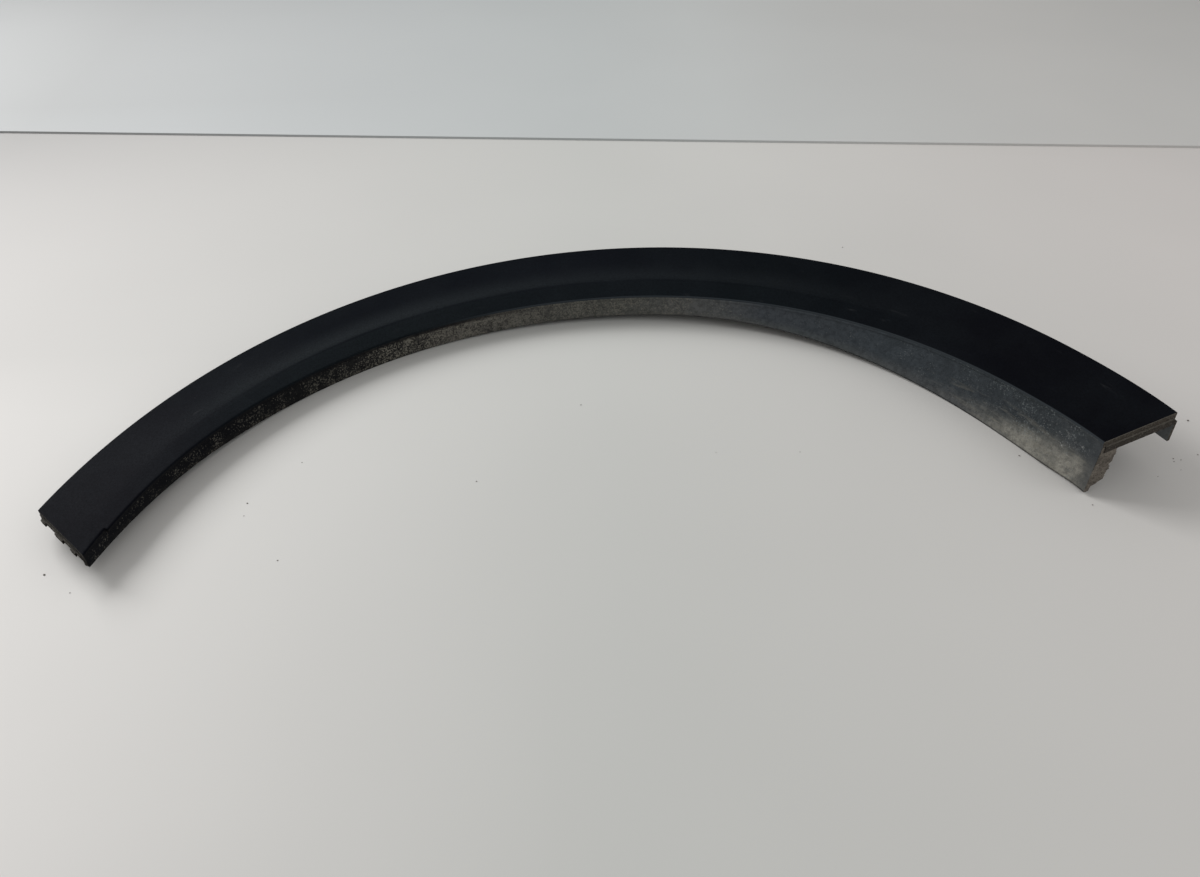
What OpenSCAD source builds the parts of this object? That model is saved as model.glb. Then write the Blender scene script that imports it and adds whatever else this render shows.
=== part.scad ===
// Wheel arch trim, moulded in one piece, as it lies face up on a flat surface.
// It is drawn about the wheel's centre, with the outer edge of its face in the plane z = 0
// and the outside of the car at +Z. It is then laid down on the three spots that touch first.
// Angles run from the crown, to the right where they are positive.
// A section is drawn as [inward, up]: inward is the distance from the face's outer edge
// towards the wheel's centre, and up is the height over the outer edge.

/* [Arch] */
// Radius of the face's outer edge
arch_r = 470; // [420:1:540]
// Angle from the crown to the left end, at the outer edge
left_angle = 75; // [62:1:84]
// Angle from the crown to the right end, at the outer edge
right_angle = 73.3; // [62:0.1:84]
// Slant of the left end away from a radius
left_cut = 29; // [0:1:34]
// Slant of the right end away from a radius
right_cut = 2; // [0:1:34]

/* [Face] */
// Width of the face at the left end
face_w_left = 67.5; // [56:0.5:80]
// Width of the face at the crown
face_w_crown = 78; // [66:0.5:92]
// Width of the face at the right end
face_w_right = 71.5; // [60:0.5:86]
// Height of the outer edge over the lip at the left end
lip_drop_left = 1.2; // [0:0.1:3]
// Height of the outer edge over the lip at the crown
lip_drop_crown = 12.8; // [8:0.1:16]
// Height of the outer edge over the lip at the right end
lip_drop_right = 5.5; // [0:0.1:8]
// Height of the soft ridge over a straight face, at the crown
ridge_rise = 5; // [0:0.1:7]
// Distance of the ridge from the outer edge at the crown
ridge_in = 57; // [48:0.5:62]
// Length over which the ridge is rounded
ridge_round = 12; // [4:0.5:18]
// Depth of the hollow between the outer edge and the ridge, at the crown
cove = 1.8; // [0:0.1:3]
// Length at the left end where the lip is set back
relief_l = 28; // [15:1:45]
// Set back of the lip at the left end
relief = 3.2; // [1:0.1:3.4]
// Distance by which the right end runs out of the arch's circle
end_out = 1.8; // [0:0.1:3]

/* [Walls] */
// Thickness of the face
face_t = 3; // [2:0.1:4]
// Thickness of the inner and outer flanges
flange_t = 2.5; // [1.8:0.1:3.2]
// Height of the lip's edge over the undercut
lip_h = 3.6; // [3:0.1:5]
// Radius on the lip's edge
lip_round = 1.4; // [0.5:0.1:2]
// Radius on the face's outer edge
edge_round = 0.9; // [0.4:0.1:1.5]

/* [Inner flange] */
// Depth of the inner flange under the outer edge, at the left end
inner_left = 15; // [13:0.5:20]
// Depth of the inner flange under the outer edge, at the crown
inner_crown = 34.8; // [28:0.1:42]
// Depth of the inner flange under the outer edge, at the right end
inner_right = 58.5; // [45:0.5:72]
// Angle where the inner flange starts to deepen towards the right end
deepen_from = 10; // [0:1:20]
// Angle where the inner flange has its full depth
deepen_to = 65; // [50:1:70]
// Lean of the inner flange, with its foot nearer to the wheel's centre
inner_lean = 4; // [0:0.5:6]
// Set back of the inner flange under the lip, at the left end
undercut_left = 3.6; // [3.3:0.1:5]
// Set back of the inner flange under the lip, at the crown
undercut_crown = 1.4; // [0.5:0.1:3]
// Set back of the inner flange under the lip, at the right end
undercut_right = 0.7; // [0.4:0.1:3]

/* [Outer flange] */
// Height of the face's edge band at the left end
band_left = 5; // [4:0.1:6]
// Height of the face's edge band at the right end
band_right = 7.4; // [4:0.1:9]
// Step from the edge band out to the outer flange
step_out = 4; // [2:0.1:6]
// Fall of that step
step_fall = 3; // [1.5:0.1:4]
// Depth of the outer flange under the outer edge, at the left end
outer_left = 13; // [12:0.5:16]
// Depth of the outer flange under the outer edge, at the crown
outer_crown = 38; // [30:0.5:44]
// Depth of the outer flange under the outer edge, at the right end
outer_right = 31; // [26:0.5:40]

/* [Ends] */
// Thickness of the rim that closes the top of each end
rim_t = 2.5; // [1.8:0.1:4]
// Depth of the rim under the face, at the left end
rim_depth_left = 9.5; // [8:0.1:11]
// Depth of the rim under the face, at the right end
rim_depth_right = 12.5; // [10:0.1:16]
// Width of the rim beside the inner flange
rim_side = 8.5; // [5:0.1:12]
// How far the ledges and tabs stand out of the rims
ledge_out = 1.3; // [0.5:0.1:3]
// Depth of the top of the ledges and tabs under the face
ledge_drop = 5.6; // [4.5:0.1:7]
// Distance of the first tab on the left end from the outer edge
tab_in = 21; // [16:0.5:26]
// Width of the tabs on the left end
tab_w = 15; // [8:0.5:18]
// Distance from one tab to the next
tab_pitch = 25; // [20:0.5:28]
// How far the tabs stand out of the left ledge
tab_out = 1.5; // [0.5:0.1:3]

/* [Clip seats] */
// Angle between the crown and the first clip seat on each side
seat_first = 20; // [14:0.5:24]
// Angle from one clip seat to the next
seat_pitch = 20; // [16:0.5:22]
// Clip seats on each side of the crown
seats_a_side = 3; // [1:1:3]
// Distance of a clip hole from the face's outer edge
seat_in = 33; // [28:0.5:40]
// Depth of the seats' lower faces under the outer edge
seat_depth = 17; // [16:0.5:20]
// Length of a clip seat along the arch
seat_l = 26; // [20:0.5:34]
// Width of a clip seat across the arch
seat_w = 24; // [18:0.5:30]
// Thickness of a clip seat's plate and walls
seat_t = 2.2; // [1.8:0.1:3]
// Diameter of a clip hole
clip_hole_d = 8; // [6:0.1:10]

/* [Ribs] */
// Angle from one cross rib to the next
rib_pitch = 10; // [8:0.5:14]
// Thickness of a cross rib
rib_t = 1.8; // [1.2:0.1:2.4]
// Height of a cross rib under the face
rib_h = 6; // [3:0.5:8]

/* [Hidden] */
// Straight steps across the face, and round the clip holes
FACE_STEPS = 11;
HOLE_FN = 48;
// Angle from one section to the next
STATION_STEP = 3;
// Run of the arc over which a slanted end turns back to a radius
SLANT_RUN = 16;
// Run of the arc in which a wall starts or the lip steps back
JOG = 0.08;
// Run of the arc over which the right end leaves the circle
OUT_RUN = 13;
// How fast the lip's drop, the inner flange and the outer flange change towards an end
DROP_FADE_LEFT = 1.7;
DROP_FADE_RIGHT = 5;
INNER_FADE = 2.9;
OUTER_FADE = 1.3;
// Where the trim touches what it lies on: the inner flange of each leg, and the outer flange
REST_LEFT = -35;
REST_RIGHT = 60;
REST_BACK = -22;
// Share of the rim's side width that is left at the flange's foot
RIM_FOOT = 0.45;
// How far the ledges and tabs stop short of the rims' lower faces
LEDGE_UP = 0.6;
// Radius on the inner flange's foot, and in the corners under the face
FOOT_ROUND = 0.8;
INNER_ROUND = 0.8;

plastic = [0.055, 0.058, 0.063];

// Helpers
function mix(a, b, t) = a + (b - a) * t;
function clamp(t) = min(1, max(0, t));
function ease(t) = let (c = clamp(t)) c * c * (3 - 2 * c);
function unit(v) = v / norm(v);
function arc_deg(l) = l / arch_r * 180 / PI;

// Share of the way from the crown to the end on that side
function share(a) = clamp(a < 0 ? -a / left_angle : a / right_angle);

// Sizes that change along the arch
function lip_set_back(a) = relief * ease((arc_deg(relief_l) - left_angle - a) / JOG);
function face_w(a) =
    mix(face_w_crown, a < 0 ? face_w_left : face_w_right, ease(share(a))) - lip_set_back(a);
function lip_drop(a) = a < 0
    ? mix(lip_drop_crown, lip_drop_left, pow(share(a), DROP_FADE_LEFT))
    : mix(lip_drop_crown, lip_drop_right, pow(share(a), DROP_FADE_RIGHT));
function ridge_fade(a) = 1 - pow(share(a), 2);
function undercut(a) = mix(undercut_crown, a < 0 ? undercut_left : undercut_right, share(a));
function flange_in(a) = face_w(a) + lip_set_back(a) - undercut(a);
function run_out(a) = end_out * ease((a - right_angle + OUT_RUN) / OUT_RUN);
function inner_depth(a) = a < 0
    ? mix(inner_crown, inner_left, pow(share(a), INNER_FADE))
    : mix(inner_crown, inner_right, ease((a - deepen_from) / (deepen_to - deepen_from)));
function outer_depth(a) =
    mix(outer_crown, a < 0 ? outer_left : outer_right, pow(share(a), OUTER_FADE));
function band_h(a) = mix(band_left, band_right, clamp((a + left_angle) / (left_angle + right_angle)));

// Height of the face's top at angle a and distance u in from the outer edge
function ridge_u(a) = face_w(a) * ridge_in / face_w_crown;
function ridge_z(a) = ridge_rise * ridge_fade(a) - lip_drop(a) * ridge_u(a) / face_w(a);
function cove_slope(a) = (ridge_z(a) + 4 * cove * ridge_fade(a)) / ridge_u(a);
function cove_z(a, u) = let (r = ridge_u(a), t = u / r)
    u > r ? ridge_z(a) + cove_slope(a) * (u - r)
          : ridge_z(a) * t - 4 * cove * ridge_fade(a) * t * (1 - t);
function ramp(x, q) = x < -q ? 0 : x > q ? x : pow(x + q, 2) / (4 * q);
function face_z(a, u) = let (
        w = face_w(a), q = ridge_round / 2,
        bend = (-lip_drop(a) - cove_z(a, w)) / ramp(w - ridge_u(a), q))
    cove_z(a, u) + bend * ramp(u - ridge_u(a), q);

// A section as pairs of points, each an outer one and the inner one behind it, from the outer
// flange's foot to the inner flange's foot. With a rim, it is the solid section of an end.
function section(a, rim) = let (
        w = face_w(a), drop = lip_drop(a), band = band_h(a), lip_foot = drop + lip_h,
        inner_top = flange_in(a),
        inner_foot = inner_top + (inner_depth(a) - lip_foot) * tan(inner_lean),
        wall = rim > 0 ? rim : face_t,
        side_top = rim > 0 ? rim_side : flange_t,
        side_foot = rim > 0 ? mix(flange_t, rim_side, RIM_FOOT) : flange_t,
        slope = unit([step_out, step_fall]),
        miter = flange_t * slope.x / (1 + slope.y),
        outer_in = flange_t - step_out,
        under_from = flange_t + INNER_ROUND,
        under_to = inner_top - side_top,
        under_z = face_z(a, under_to) - wall,
        nick = 1 - sqrt(0.5))
    concat(
        [[[-step_out, -outer_depth(a)], [outer_in, -outer_depth(a)]],
         [[-step_out, -band - step_fall], [outer_in, rim > 0 ? -rim : -band - step_fall - miter]],
         [[0, -band], rim > 0 ? [flange_t - step_out / 2, -rim] : [flange_t, -band - miter]],
         [[0, -edge_round], [flange_t, face_z(a, flange_t) - wall - INNER_ROUND]],
         [[edge_round * nick, -edge_round * nick],
          [flange_t + INNER_ROUND * nick, face_z(a, flange_t) - wall - INNER_ROUND * nick]]],
        [for (i = [0 : FACE_STEPS]) let (
                t = i / FACE_STEPS,
                u = mix(edge_round, w - lip_round, t),
                v = mix(under_from, under_to - INNER_ROUND, t))
            [[u, face_z(a, u)], [v, face_z(a, v) - wall]]],
        [[[w - lip_round * nick, -drop - lip_round * nick],
          [under_to - INNER_ROUND * nick, under_z - INNER_ROUND * nick]],
         [[w, -drop - lip_round], [under_to, under_z - INNER_ROUND]],
         [[w, -lip_foot], [under_to, under_z - 1.5 * INNER_ROUND]],
         [[inner_top, -lip_foot], [under_to, min(-lip_foot, under_z - 2 * INNER_ROUND)]],
         [[inner_foot, FOOT_ROUND - inner_depth(a)],
          [inner_foot - side_foot, 2 * FOOT_ROUND - inner_depth(a)]],
         [[inner_foot - FOOT_ROUND, -inner_depth(a)], [inner_foot - side_foot, -inner_depth(a)]]]);

// Slant of the section plane at angle a, and the place in it of a distance u
function slant(a) = a < 0
    ? left_cut * (1 - ease((a + left_angle) / SLANT_RUN))
    : -right_cut * (1 - ease((right_angle - a) / SLANT_RUN));
function along_cut(cut, u) =
    arch_r * cos(cut) - sqrt(pow(arch_r - u, 2) - pow(arch_r * sin(cut), 2));
function in_plan(a, p) = let (cut = slant(a), l = along_cut(cut, p.x - run_out(a)))
    [arch_r * sin(a) - l * sin(a + cut), arch_r * cos(a) - l * cos(a + cut), p.y];
function ring(s) = let (pairs = section(s[0], s[1]), last = len(pairs) - 1) concat(
    [for (i = [0 : last]) in_plan(s[0], pairs[i][0])],
    [for (i = [last : -1 : 0]) in_plan(s[0], pairs[i][1])]);

// The sections along the arch, each an angle and its rim's depth, which is 0 between the rims
function rim_run(cut) = arc_deg(rim_t / cos(cut));
left_end = -left_angle;
left_rim = left_end + rim_run(left_cut);
left_jog = left_end + arc_deg(relief_l);
right_rim = right_angle - rim_run(right_cut);
inner_from = left_jog + JOG;
inner_to = right_rim - JOG;
inner_n = ceil((inner_to - inner_from) / STATION_STEP);
stations = concat(
    [[left_end, rim_depth_left], [left_rim, rim_depth_left], [left_rim + JOG, 0],
     [mix(left_rim, left_jog, 0.5), 0], [left_jog - JOG, 0]],
    [for (i = [0 : inner_n]) [mix(inner_from, inner_to, i / inner_n), 0]],
    [[right_rim, rim_depth_right], [right_angle, rim_depth_right]]);
rings = [for (s = stations) ring(s)];

// Laying down: the plane through the three spots that touch first
function foot(a) = let (
        under = lip_drop(a) + lip_h, lean = (inner_depth(a) - under) * tan(inner_lean))
    in_plan(a, [flange_in(a) + lean, -inner_depth(a)]);
spot_right = foot(REST_RIGHT);
spot_left = foot(REST_LEFT);
spot_back = in_plan(REST_BACK, [-step_out, -outer_depth(REST_BACK)]);
rest_up = unit(cross(spot_left - spot_right, spot_right - spot_back));
rest_x = unit(cross([0, 1, 0], rest_up));
rest_y = cross(rest_up, rest_x);
function laid(p) = [p * rest_x, p * rest_y, p * rest_up];
laid_points = [for (r = rings) for (p = r) laid(p)];
function span(i) = let (v = [for (p = laid_points) p[i]]) [min(v), max(v)];
move_x = -(span(0)[0] + span(0)[1]) / 2;
move_y = -(span(1)[0] + span(1)[1]) / 2;
move_z = -span(2)[0];
module lay_down() {
    multmatrix([[rest_x.x, rest_x.y, rest_x.z, move_x],
                [rest_y.x, rest_y.y, rest_y.z, move_y],
                [rest_up.x, rest_up.y, rest_up.z, move_z],
                [0, 0, 0, 1]])
        children();
}

// A skin through a row of rings of paired points, closed at both ends
module loft(r) {
    n = len(r[0]);
    last = (len(r) - 1) * n;
    sides = [for (j = [0 : len(r) - 2]) for (k = [0 : n - 1]) let (
            p = j * n + k, q = j * n + (k + 1) % n)
        each [[p, p + n, q], [q, p + n, q + n]]];
    caps = [for (k = [0 : n / 2 - 2]) let (m = n - 1 - k)
        each [[k, k + 1, m], [k + 1, m - 1, m],
              [last + k, last + m, last + k + 1], [last + k + 1, last + m, last + m - 1]]];
    polyhedron([for (s = r) each s], concat(sides, caps), convexity = 12);
}

// A flat plate across the arch at angle a, turned by cut out of the radius there, from its
// outline in [inward, up]. It reaches from low to high along the arch, to the left if positive.
module section_plate(a, cut, low, high, outline) {
    translate([arch_r * sin(a), arch_r * cos(a), 0])
        rotate([0, 0, -a - cut]) rotate([90, 0, -90])
            translate([0, 0, low]) linear_extrude(high - low)
                polygon([for (p = outline) [along_cut(cut, p.x - run_out(a)), p.y]]);
}

// The outline of a strip under the face, from u0 to u1, from its top to its foot
function strip(a, u0, u1, top, foot) = let (n = 8) concat(
    [for (i = [0 : n]) let (u = mix(u0, u1, i / n)) [u, face_z(a, u) - top]],
    [for (i = [n : -1 : 0]) let (u = mix(u0, u1, i / n)) [u, face_z(a, u) - foot]]);

// The outline of a wall under the face that stands on a level foot
function level_wall(a, u0, u1, depth) = let (n = 4) concat(
    [for (i = [0 : n]) let (u = mix(u0, u1, i / n)) [u, face_z(a, u) - face_t / 2]],
    [[u1, -depth], [u0, -depth]]);

// A cross rib between the two flanges
module cross_rib(a) {
    into = flange_t / 2;
    section_plate(a, 0, -rib_t / 2, rib_t / 2,
        strip(a, into, flange_in(a) - into, face_t / 2, face_t + rib_h));
}

module cross_ribs() {
    n = floor((min(left_angle - SLANT_RUN / 2, right_angle) - rib_pitch) / rib_pitch - 0.5);
    for (i = [0 : n]) for (side = [-1, 1]) cross_rib(side * (i + 0.5) * rib_pitch);
}

// A clip seat: a plate with a round hole, on two side walls and a back wall under the face
module clip_seat(a) {
    near = seat_in - seat_w / 2;
    far = seat_in + seat_w / 2;
    half = seat_l / 2;
    for (side = [-1, 1]) {
        mid = side * (half - seat_t / 2);
        section_plate(a, 0, mid - seat_t / 2, mid + seat_t / 2,
            level_wall(a, near, far, seat_depth));
    }
    rotate([0, 0, -a]) translate([0, arch_r - near, -seat_depth]) {
        back_h = seat_depth + face_z(a, near + seat_t) - face_t / 2;
        translate([-half, -seat_t, 0]) cube([seat_l, seat_t, back_h]);
        difference() {
            translate([-half, -seat_w, 0]) cube([seat_l, seat_w, seat_t]);
            translate([0, -seat_w / 2, -1])
                cylinder(h = seat_t + 2, d = clip_hole_d, $fn = HOLE_FN);
        }
    }
}

module clip_seats() {
    for (i = [0 : seats_a_side - 1]) for (side = [-1, 1])
        clip_seat(side * (seat_first + i * seat_pitch));
}

// The ledges that stand out of the two rims, and the tabs on the left one
module end_ledges() {
    into = rim_t / 2;
    a = -left_angle;
    left_in = flange_in(a) - lip_set_back(a) - flange_t;
    section_plate(a, slant(a), -into, ledge_out,
        strip(a, flange_t, left_in, ledge_drop, rim_depth_left - LEDGE_UP));
    for (i = [0 : 1]) let (u = tab_in + i * tab_pitch)
        section_plate(a, slant(a), -into, ledge_out + tab_out,
            strip(a, u, min(u + tab_w, left_in), ledge_drop, rim_depth_left - LEDGE_UP));
    b = right_angle;
    section_plate(b, slant(b), -ledge_out, into,
        strip(b, flange_t, flange_in(b) - flange_t, ledge_drop, rim_depth_right - LEDGE_UP));
}

module arch_moulding() {
    color(plastic) lay_down() {
        loft(rings);
        cross_ribs();
        clip_seats();
        end_ledges();
    }
}

arch_moulding();
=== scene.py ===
"""Looks of a wheel arch trim, one black moulding that lies face up on a pale table.

Sizes are in millimetres about the wheel's centre, as a moulder's drawing has them: an angle
from the crown, a distance inward from the face's outer edge and a height over that edge.
A straight strip is drawn in those three, bent into the arch and then laid down in metres.
"""

import logging
import math
from dataclasses import dataclass, field
from enum import Enum, IntEnum

import bmesh
import bpy
from mathutils import Matrix, Vector, noise


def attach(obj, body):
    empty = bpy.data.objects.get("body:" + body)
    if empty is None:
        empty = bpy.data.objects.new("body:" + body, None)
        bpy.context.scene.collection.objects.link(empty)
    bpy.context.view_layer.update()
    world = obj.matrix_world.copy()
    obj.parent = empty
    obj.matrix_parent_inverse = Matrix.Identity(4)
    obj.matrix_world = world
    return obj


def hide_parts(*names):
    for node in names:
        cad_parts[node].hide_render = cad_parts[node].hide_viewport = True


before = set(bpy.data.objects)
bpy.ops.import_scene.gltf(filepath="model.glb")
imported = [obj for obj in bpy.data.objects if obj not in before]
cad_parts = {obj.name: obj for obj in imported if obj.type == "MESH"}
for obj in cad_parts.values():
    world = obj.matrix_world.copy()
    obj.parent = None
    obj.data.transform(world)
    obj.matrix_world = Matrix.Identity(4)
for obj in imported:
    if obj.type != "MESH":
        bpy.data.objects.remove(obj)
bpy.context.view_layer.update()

log = logging.getLogger("wheel_arch_trim")
MM = 0.001
SHARP_DEGREES = 32.0
RAY_DEPTH = 200.0
TINY = 1e-9
Pair = tuple[float, float]
# A mask's start and end, with its values there where they aren't 0 and 1, or a noise's
# scale, detail and roughness.
Span = tuple[float, ...]
Colour = tuple[float, float, float]
Stops = tuple[tuple[float, Colour], ...]


class Zone(IntEnum):
    """Where a face of the moulding lies, which is also its material's place in the mesh."""

    FACE = 0
    WALL = 1
    UNDERSIDE = 2
    END = 3


class Side(Enum):
    """The two ends of the arch, with the sign of their angle."""

    LEFT = -1
    RIGHT = 1


def mix(low: float, high: float, part: float) -> float:
    """The value that lies at part of the way from low to high."""
    return low + (high - low) * part


def ease(part: float) -> float:
    """A share from 0 to 1 that starts and ends gently."""
    held = min(1.0, max(0.0, part))
    return held * held * (3.0 - 2.0 * held)


def corner(before: Pair, at: Pair, after: Pair, radius: float, steps: int = 4) -> list[Pair]:
    """A rounded corner.

    Args:
        before: A point on the side that comes first.
        at: The sharp corner.
        after: A point on the side that follows.
        radius: How far from the corner the rounding starts and ends.
        steps: Straight steps in the rounding.

    Returns:
        The points of the rounding, in order.
    """
    here = Vector(at)
    start = here + (Vector(before) - here).normalized() * radius
    end = here + (Vector(after) - here).normalized() * radius
    points = []
    for i in range(steps + 1):
        t = i / steps
        spot = start * (1 - t) ** 2 + here * (2 * t * (1 - t)) + end * t * t
        points.append((spot.x, spot.y))
    return points


@dataclass(frozen=True)
class ArchForm:
    """The sizes of the moulding, as the part's drawing has them, and the section they give."""

    # The circle and its two ends.
    radius: float = 470.0
    left_angle: float = 75.0
    right_angle: float = 73.3
    left_cut: float = 29.0
    right_cut: float = 2.0
    slant_run: float = 16.0
    # The face: its width, its fall to the lip, its ridge and where the lip is set back.
    face_left: float = 67.5
    face_crown: float = 78.0
    face_right: float = 71.5
    drop_left: float = 1.2
    drop_crown: float = 12.8
    drop_right: float = 5.5
    drop_left_curve: float = 1.7
    drop_right_curve: float = 5.0
    ridge_rise: float = 5.0
    ridge_in: float = 57.0
    ridge_round: float = 12.0
    cove: float = 1.8
    relief_run: float = 28.0
    relief: float = 3.2
    # Where the inner flange's foot bows in, and where the right end runs out.
    foot_swell: float = 4.6
    swell_from: float = 26.0
    swell_at: float = 66.5
    end_out: float = 1.8
    out_run: float = 13.0
    # Wall thicknesses and the rounding of the edges.
    face_t: float = 3.0
    flange_t: float = 2.5
    lip_h: float = 3.6
    lip_round: float = 1.4
    lip_foot_round: float = 0.3
    edge_round: float = 0.9
    band_round: float = 0.6
    step_round: float = 0.8
    outer_foot_round: float = 0.7
    wall_round: float = 0.8
    foot_fillet: float = 1.6
    # The inner flange.
    inner_left: float = 15.0
    inner_crown: float = 34.8
    inner_right: float = 58.5
    inner_curve: float = 2.9
    deepen_from: float = 10.0
    deepen_to: float = 65.0
    lean: float = 4.0
    undercut_left: float = 3.6
    undercut_crown: float = 1.4
    undercut_right: float = 0.7
    # The face's edge band and the outer flange.
    band_left: float = 5.0
    band_right: float = 7.4
    step_out: float = 4.0
    step_fall: float = 3.0
    outer_left: float = 13.0
    outer_crown: float = 38.0
    outer_right: float = 31.0
    outer_curve: float = 1.3
    # The rims that close the ends, and the short run from one section to the next.
    rim_t: float = 2.5
    rim_left: float = 9.5
    rim_right: float = 12.5
    rim_side: float = 8.5
    rim_side_foot: float = 0.45
    jog: float = 0.08
    # The angles of the three spots that it lies on.
    rest_left: float = -35.0
    rest_right: float = 60.0
    rest_back: float = -22.0
    # How finely an outline is drawn, and how far along its sides a corner looks.
    leg: float = 9.0
    far_down: float = -99.0
    hair: float = 0.01
    rim_inset: float = 0.5
    face_steps: int = 44
    wall_steps: int = 9
    under_steps: int = 20

    def end(self, side: Side) -> float:
        """The angle of an end."""
        return -self.left_angle if side is Side.LEFT else self.right_angle

    def share(self, angle: float) -> float:
        """Share of the way from the crown to the end on that side."""
        part = -angle / self.left_angle if angle < 0 else angle / self.right_angle
        return min(1.0, max(0.0, part))

    def degrees(self, length: float) -> float:
        """The angle that a length along the outer edge takes."""
        return math.degrees(length / self.radius)

    def width(self, angle: float) -> float:
        """Width of the face, less where the lip is set back at the left end."""
        far = self.face_left if angle < 0 else self.face_right
        return mix(self.face_crown, far, ease(self.share(angle))) - self.set_back(angle)

    def set_back(self, angle: float) -> float:
        """How far the lip is set back, which it is at the left end."""
        return self.relief * ease(
            (self.degrees(self.relief_run) - self.left_angle - angle) / self.jog)

    def flange_in(self, angle: float) -> float:
        """Where the inner flange starts, which the lip's set back leaves alone."""
        return self.width(angle) + self.set_back(angle) - self.undercut(angle)

    def swell(self, angle: float) -> float:
        """How far the inner flange's foot bows in between the crown and the right end."""
        rising = ease((angle - self.swell_from) / (self.swell_at - self.swell_from))
        falling = ease((angle - self.swell_at) / (self.right_angle - self.swell_at))
        return self.foot_swell * rising * (1 - falling)

    def run_out(self, angle: float) -> float:
        """How far the section stands out of the circle, which it does at the right end."""
        return self.end_out * ease((angle - self.right_angle + self.out_run) / self.out_run)

    def drop(self, angle: float) -> float:
        """Height of the outer edge over the lip."""
        if angle < 0:
            part = self.share(angle) ** self.drop_left_curve
            return mix(self.drop_crown, self.drop_left, part)
        return mix(self.drop_crown, self.drop_right,
                   self.share(angle) ** self.drop_right_curve)

    def undercut(self, angle: float) -> float:
        """Set back of the inner flange under the lip."""
        far = self.undercut_left if angle < 0 else self.undercut_right
        return mix(self.undercut_crown, far, self.share(angle))

    def inner_depth(self, angle: float) -> float:
        """Depth of the inner flange's foot under the outer edge."""
        if angle < 0:
            part = self.share(angle) ** self.inner_curve
            return mix(self.inner_crown, self.inner_left, part)
        run = (angle - self.deepen_from) / (self.deepen_to - self.deepen_from)
        return mix(self.inner_crown, self.inner_right, ease(run))

    def outer_depth(self, angle: float) -> float:
        """Depth of the outer flange's foot under the outer edge."""
        far = self.outer_left if angle < 0 else self.outer_right
        return mix(self.outer_crown, far, self.share(angle) ** self.outer_curve)

    def band(self, angle: float) -> float:
        """Height of the face's edge band."""
        part = (angle + self.left_angle) / (self.left_angle + self.right_angle)
        return mix(self.band_left, self.band_right, min(1.0, max(0.0, part)))

    def face_z(self, angle: float, inward: float) -> float:
        """Height of the face's top: a hollow, a soft ridge and a flat inner band."""
        width, drop = self.width(angle), self.drop(angle)
        fade = 1 - self.share(angle) ** 2
        ridge = width * self.ridge_in / self.face_crown
        top = self.ridge_rise * fade - drop * ridge / width
        slope = (top + 4 * self.cove * fade) / ridge

        def hollow(u: float) -> float:
            """The face without its inner band: the hollow, then on at the ridge's slope."""
            t = u / ridge
            return top + slope * (u - ridge) if u > ridge else (
                top * t - 4 * self.cove * fade * t * (1 - t))

        def past_ridge(x: float) -> float:
            """How far a place is past the ridge, with a rounded start."""
            q = self.ridge_round / 2
            return 0.0 if x < -q else x if x > q else (x + q) ** 2 / (4 * q)

        bend = (-drop - hollow(width)) / past_ridge(width - ridge)
        return hollow(inward) + bend * past_ridge(inward - ridge)

    def slant(self, angle: float) -> float:
        """Slant of the section plane away from a radius."""
        if angle < 0:
            return self.left_cut * (1 - ease((angle + self.left_angle) / self.slant_run))
        return -self.right_cut * (1 - ease((self.right_angle - angle) / self.slant_run))

    def plan(self, angle: float, inward: float, up: float) -> Vector:
        """The place of a point of a section about the wheel's centre."""
        cut, a = math.radians(self.slant(angle)), math.radians(angle)
        r = self.radius
        run = r * math.cos(cut) - math.sqrt((r - inward) ** 2 - (r * math.sin(cut)) ** 2)
        return Vector((r * math.sin(a) - run * math.sin(a + cut),
                       r * math.cos(a) - run * math.cos(a + cut), up))

    def foot(self, angle: float) -> Vector:
        """The inner flange's foot, which may touch the table."""
        under = self.drop(angle) + self.lip_h
        lean = (self.inner_depth(angle) - under) * math.tan(math.radians(self.lean))
        inward = self.flange_in(angle) + lean
        return self.plan(angle, inward, -self.inner_depth(angle))

    def section(self, angle: float, rim: float) -> list[tuple[float, float, Zone]]:
        """The closed outline of the wall at an angle.

        Args:
            angle: Angle from the crown, in degrees.
            rim: Depth of the solid rim under the face, or 0 between the rims.

        Returns:
            Points [inward, up] with the zone of the face that starts there.
        """
        w, drop, band = self.width(angle), self.drop(angle), self.band(angle)
        lip_foot, depth, leg = drop + self.lip_h, self.inner_depth(angle), self.leg
        top = self.flange_in(angle)
        foot = top + (depth - lip_foot) * math.tan(math.radians(self.lean)) + self.swell(angle)
        out, fall, low = -self.step_out, -band - self.step_fall, -self.outer_depth(angle)
        solid, thin = rim > 0, self.flange_t
        wall = rim if solid else self.face_t
        side_top = self.rim_side if solid else thin
        side_foot = mix(thin, self.rim_side, self.rim_side_foot) if solid else thin
        miter = thin * 0.5
        under_to = top - side_top
        points: list[tuple[float, float, Zone]] = []

        def put(run: list[Pair], zone: Zone) -> None:
            """Adds points of one zone."""
            points.extend((u, z, zone) for u, z in run)

        def above(u: float, under: float = 0.0) -> Pair:
            """The point of the face over a place, or under it."""
            return u, self.face_z(angle, u) - under

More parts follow.
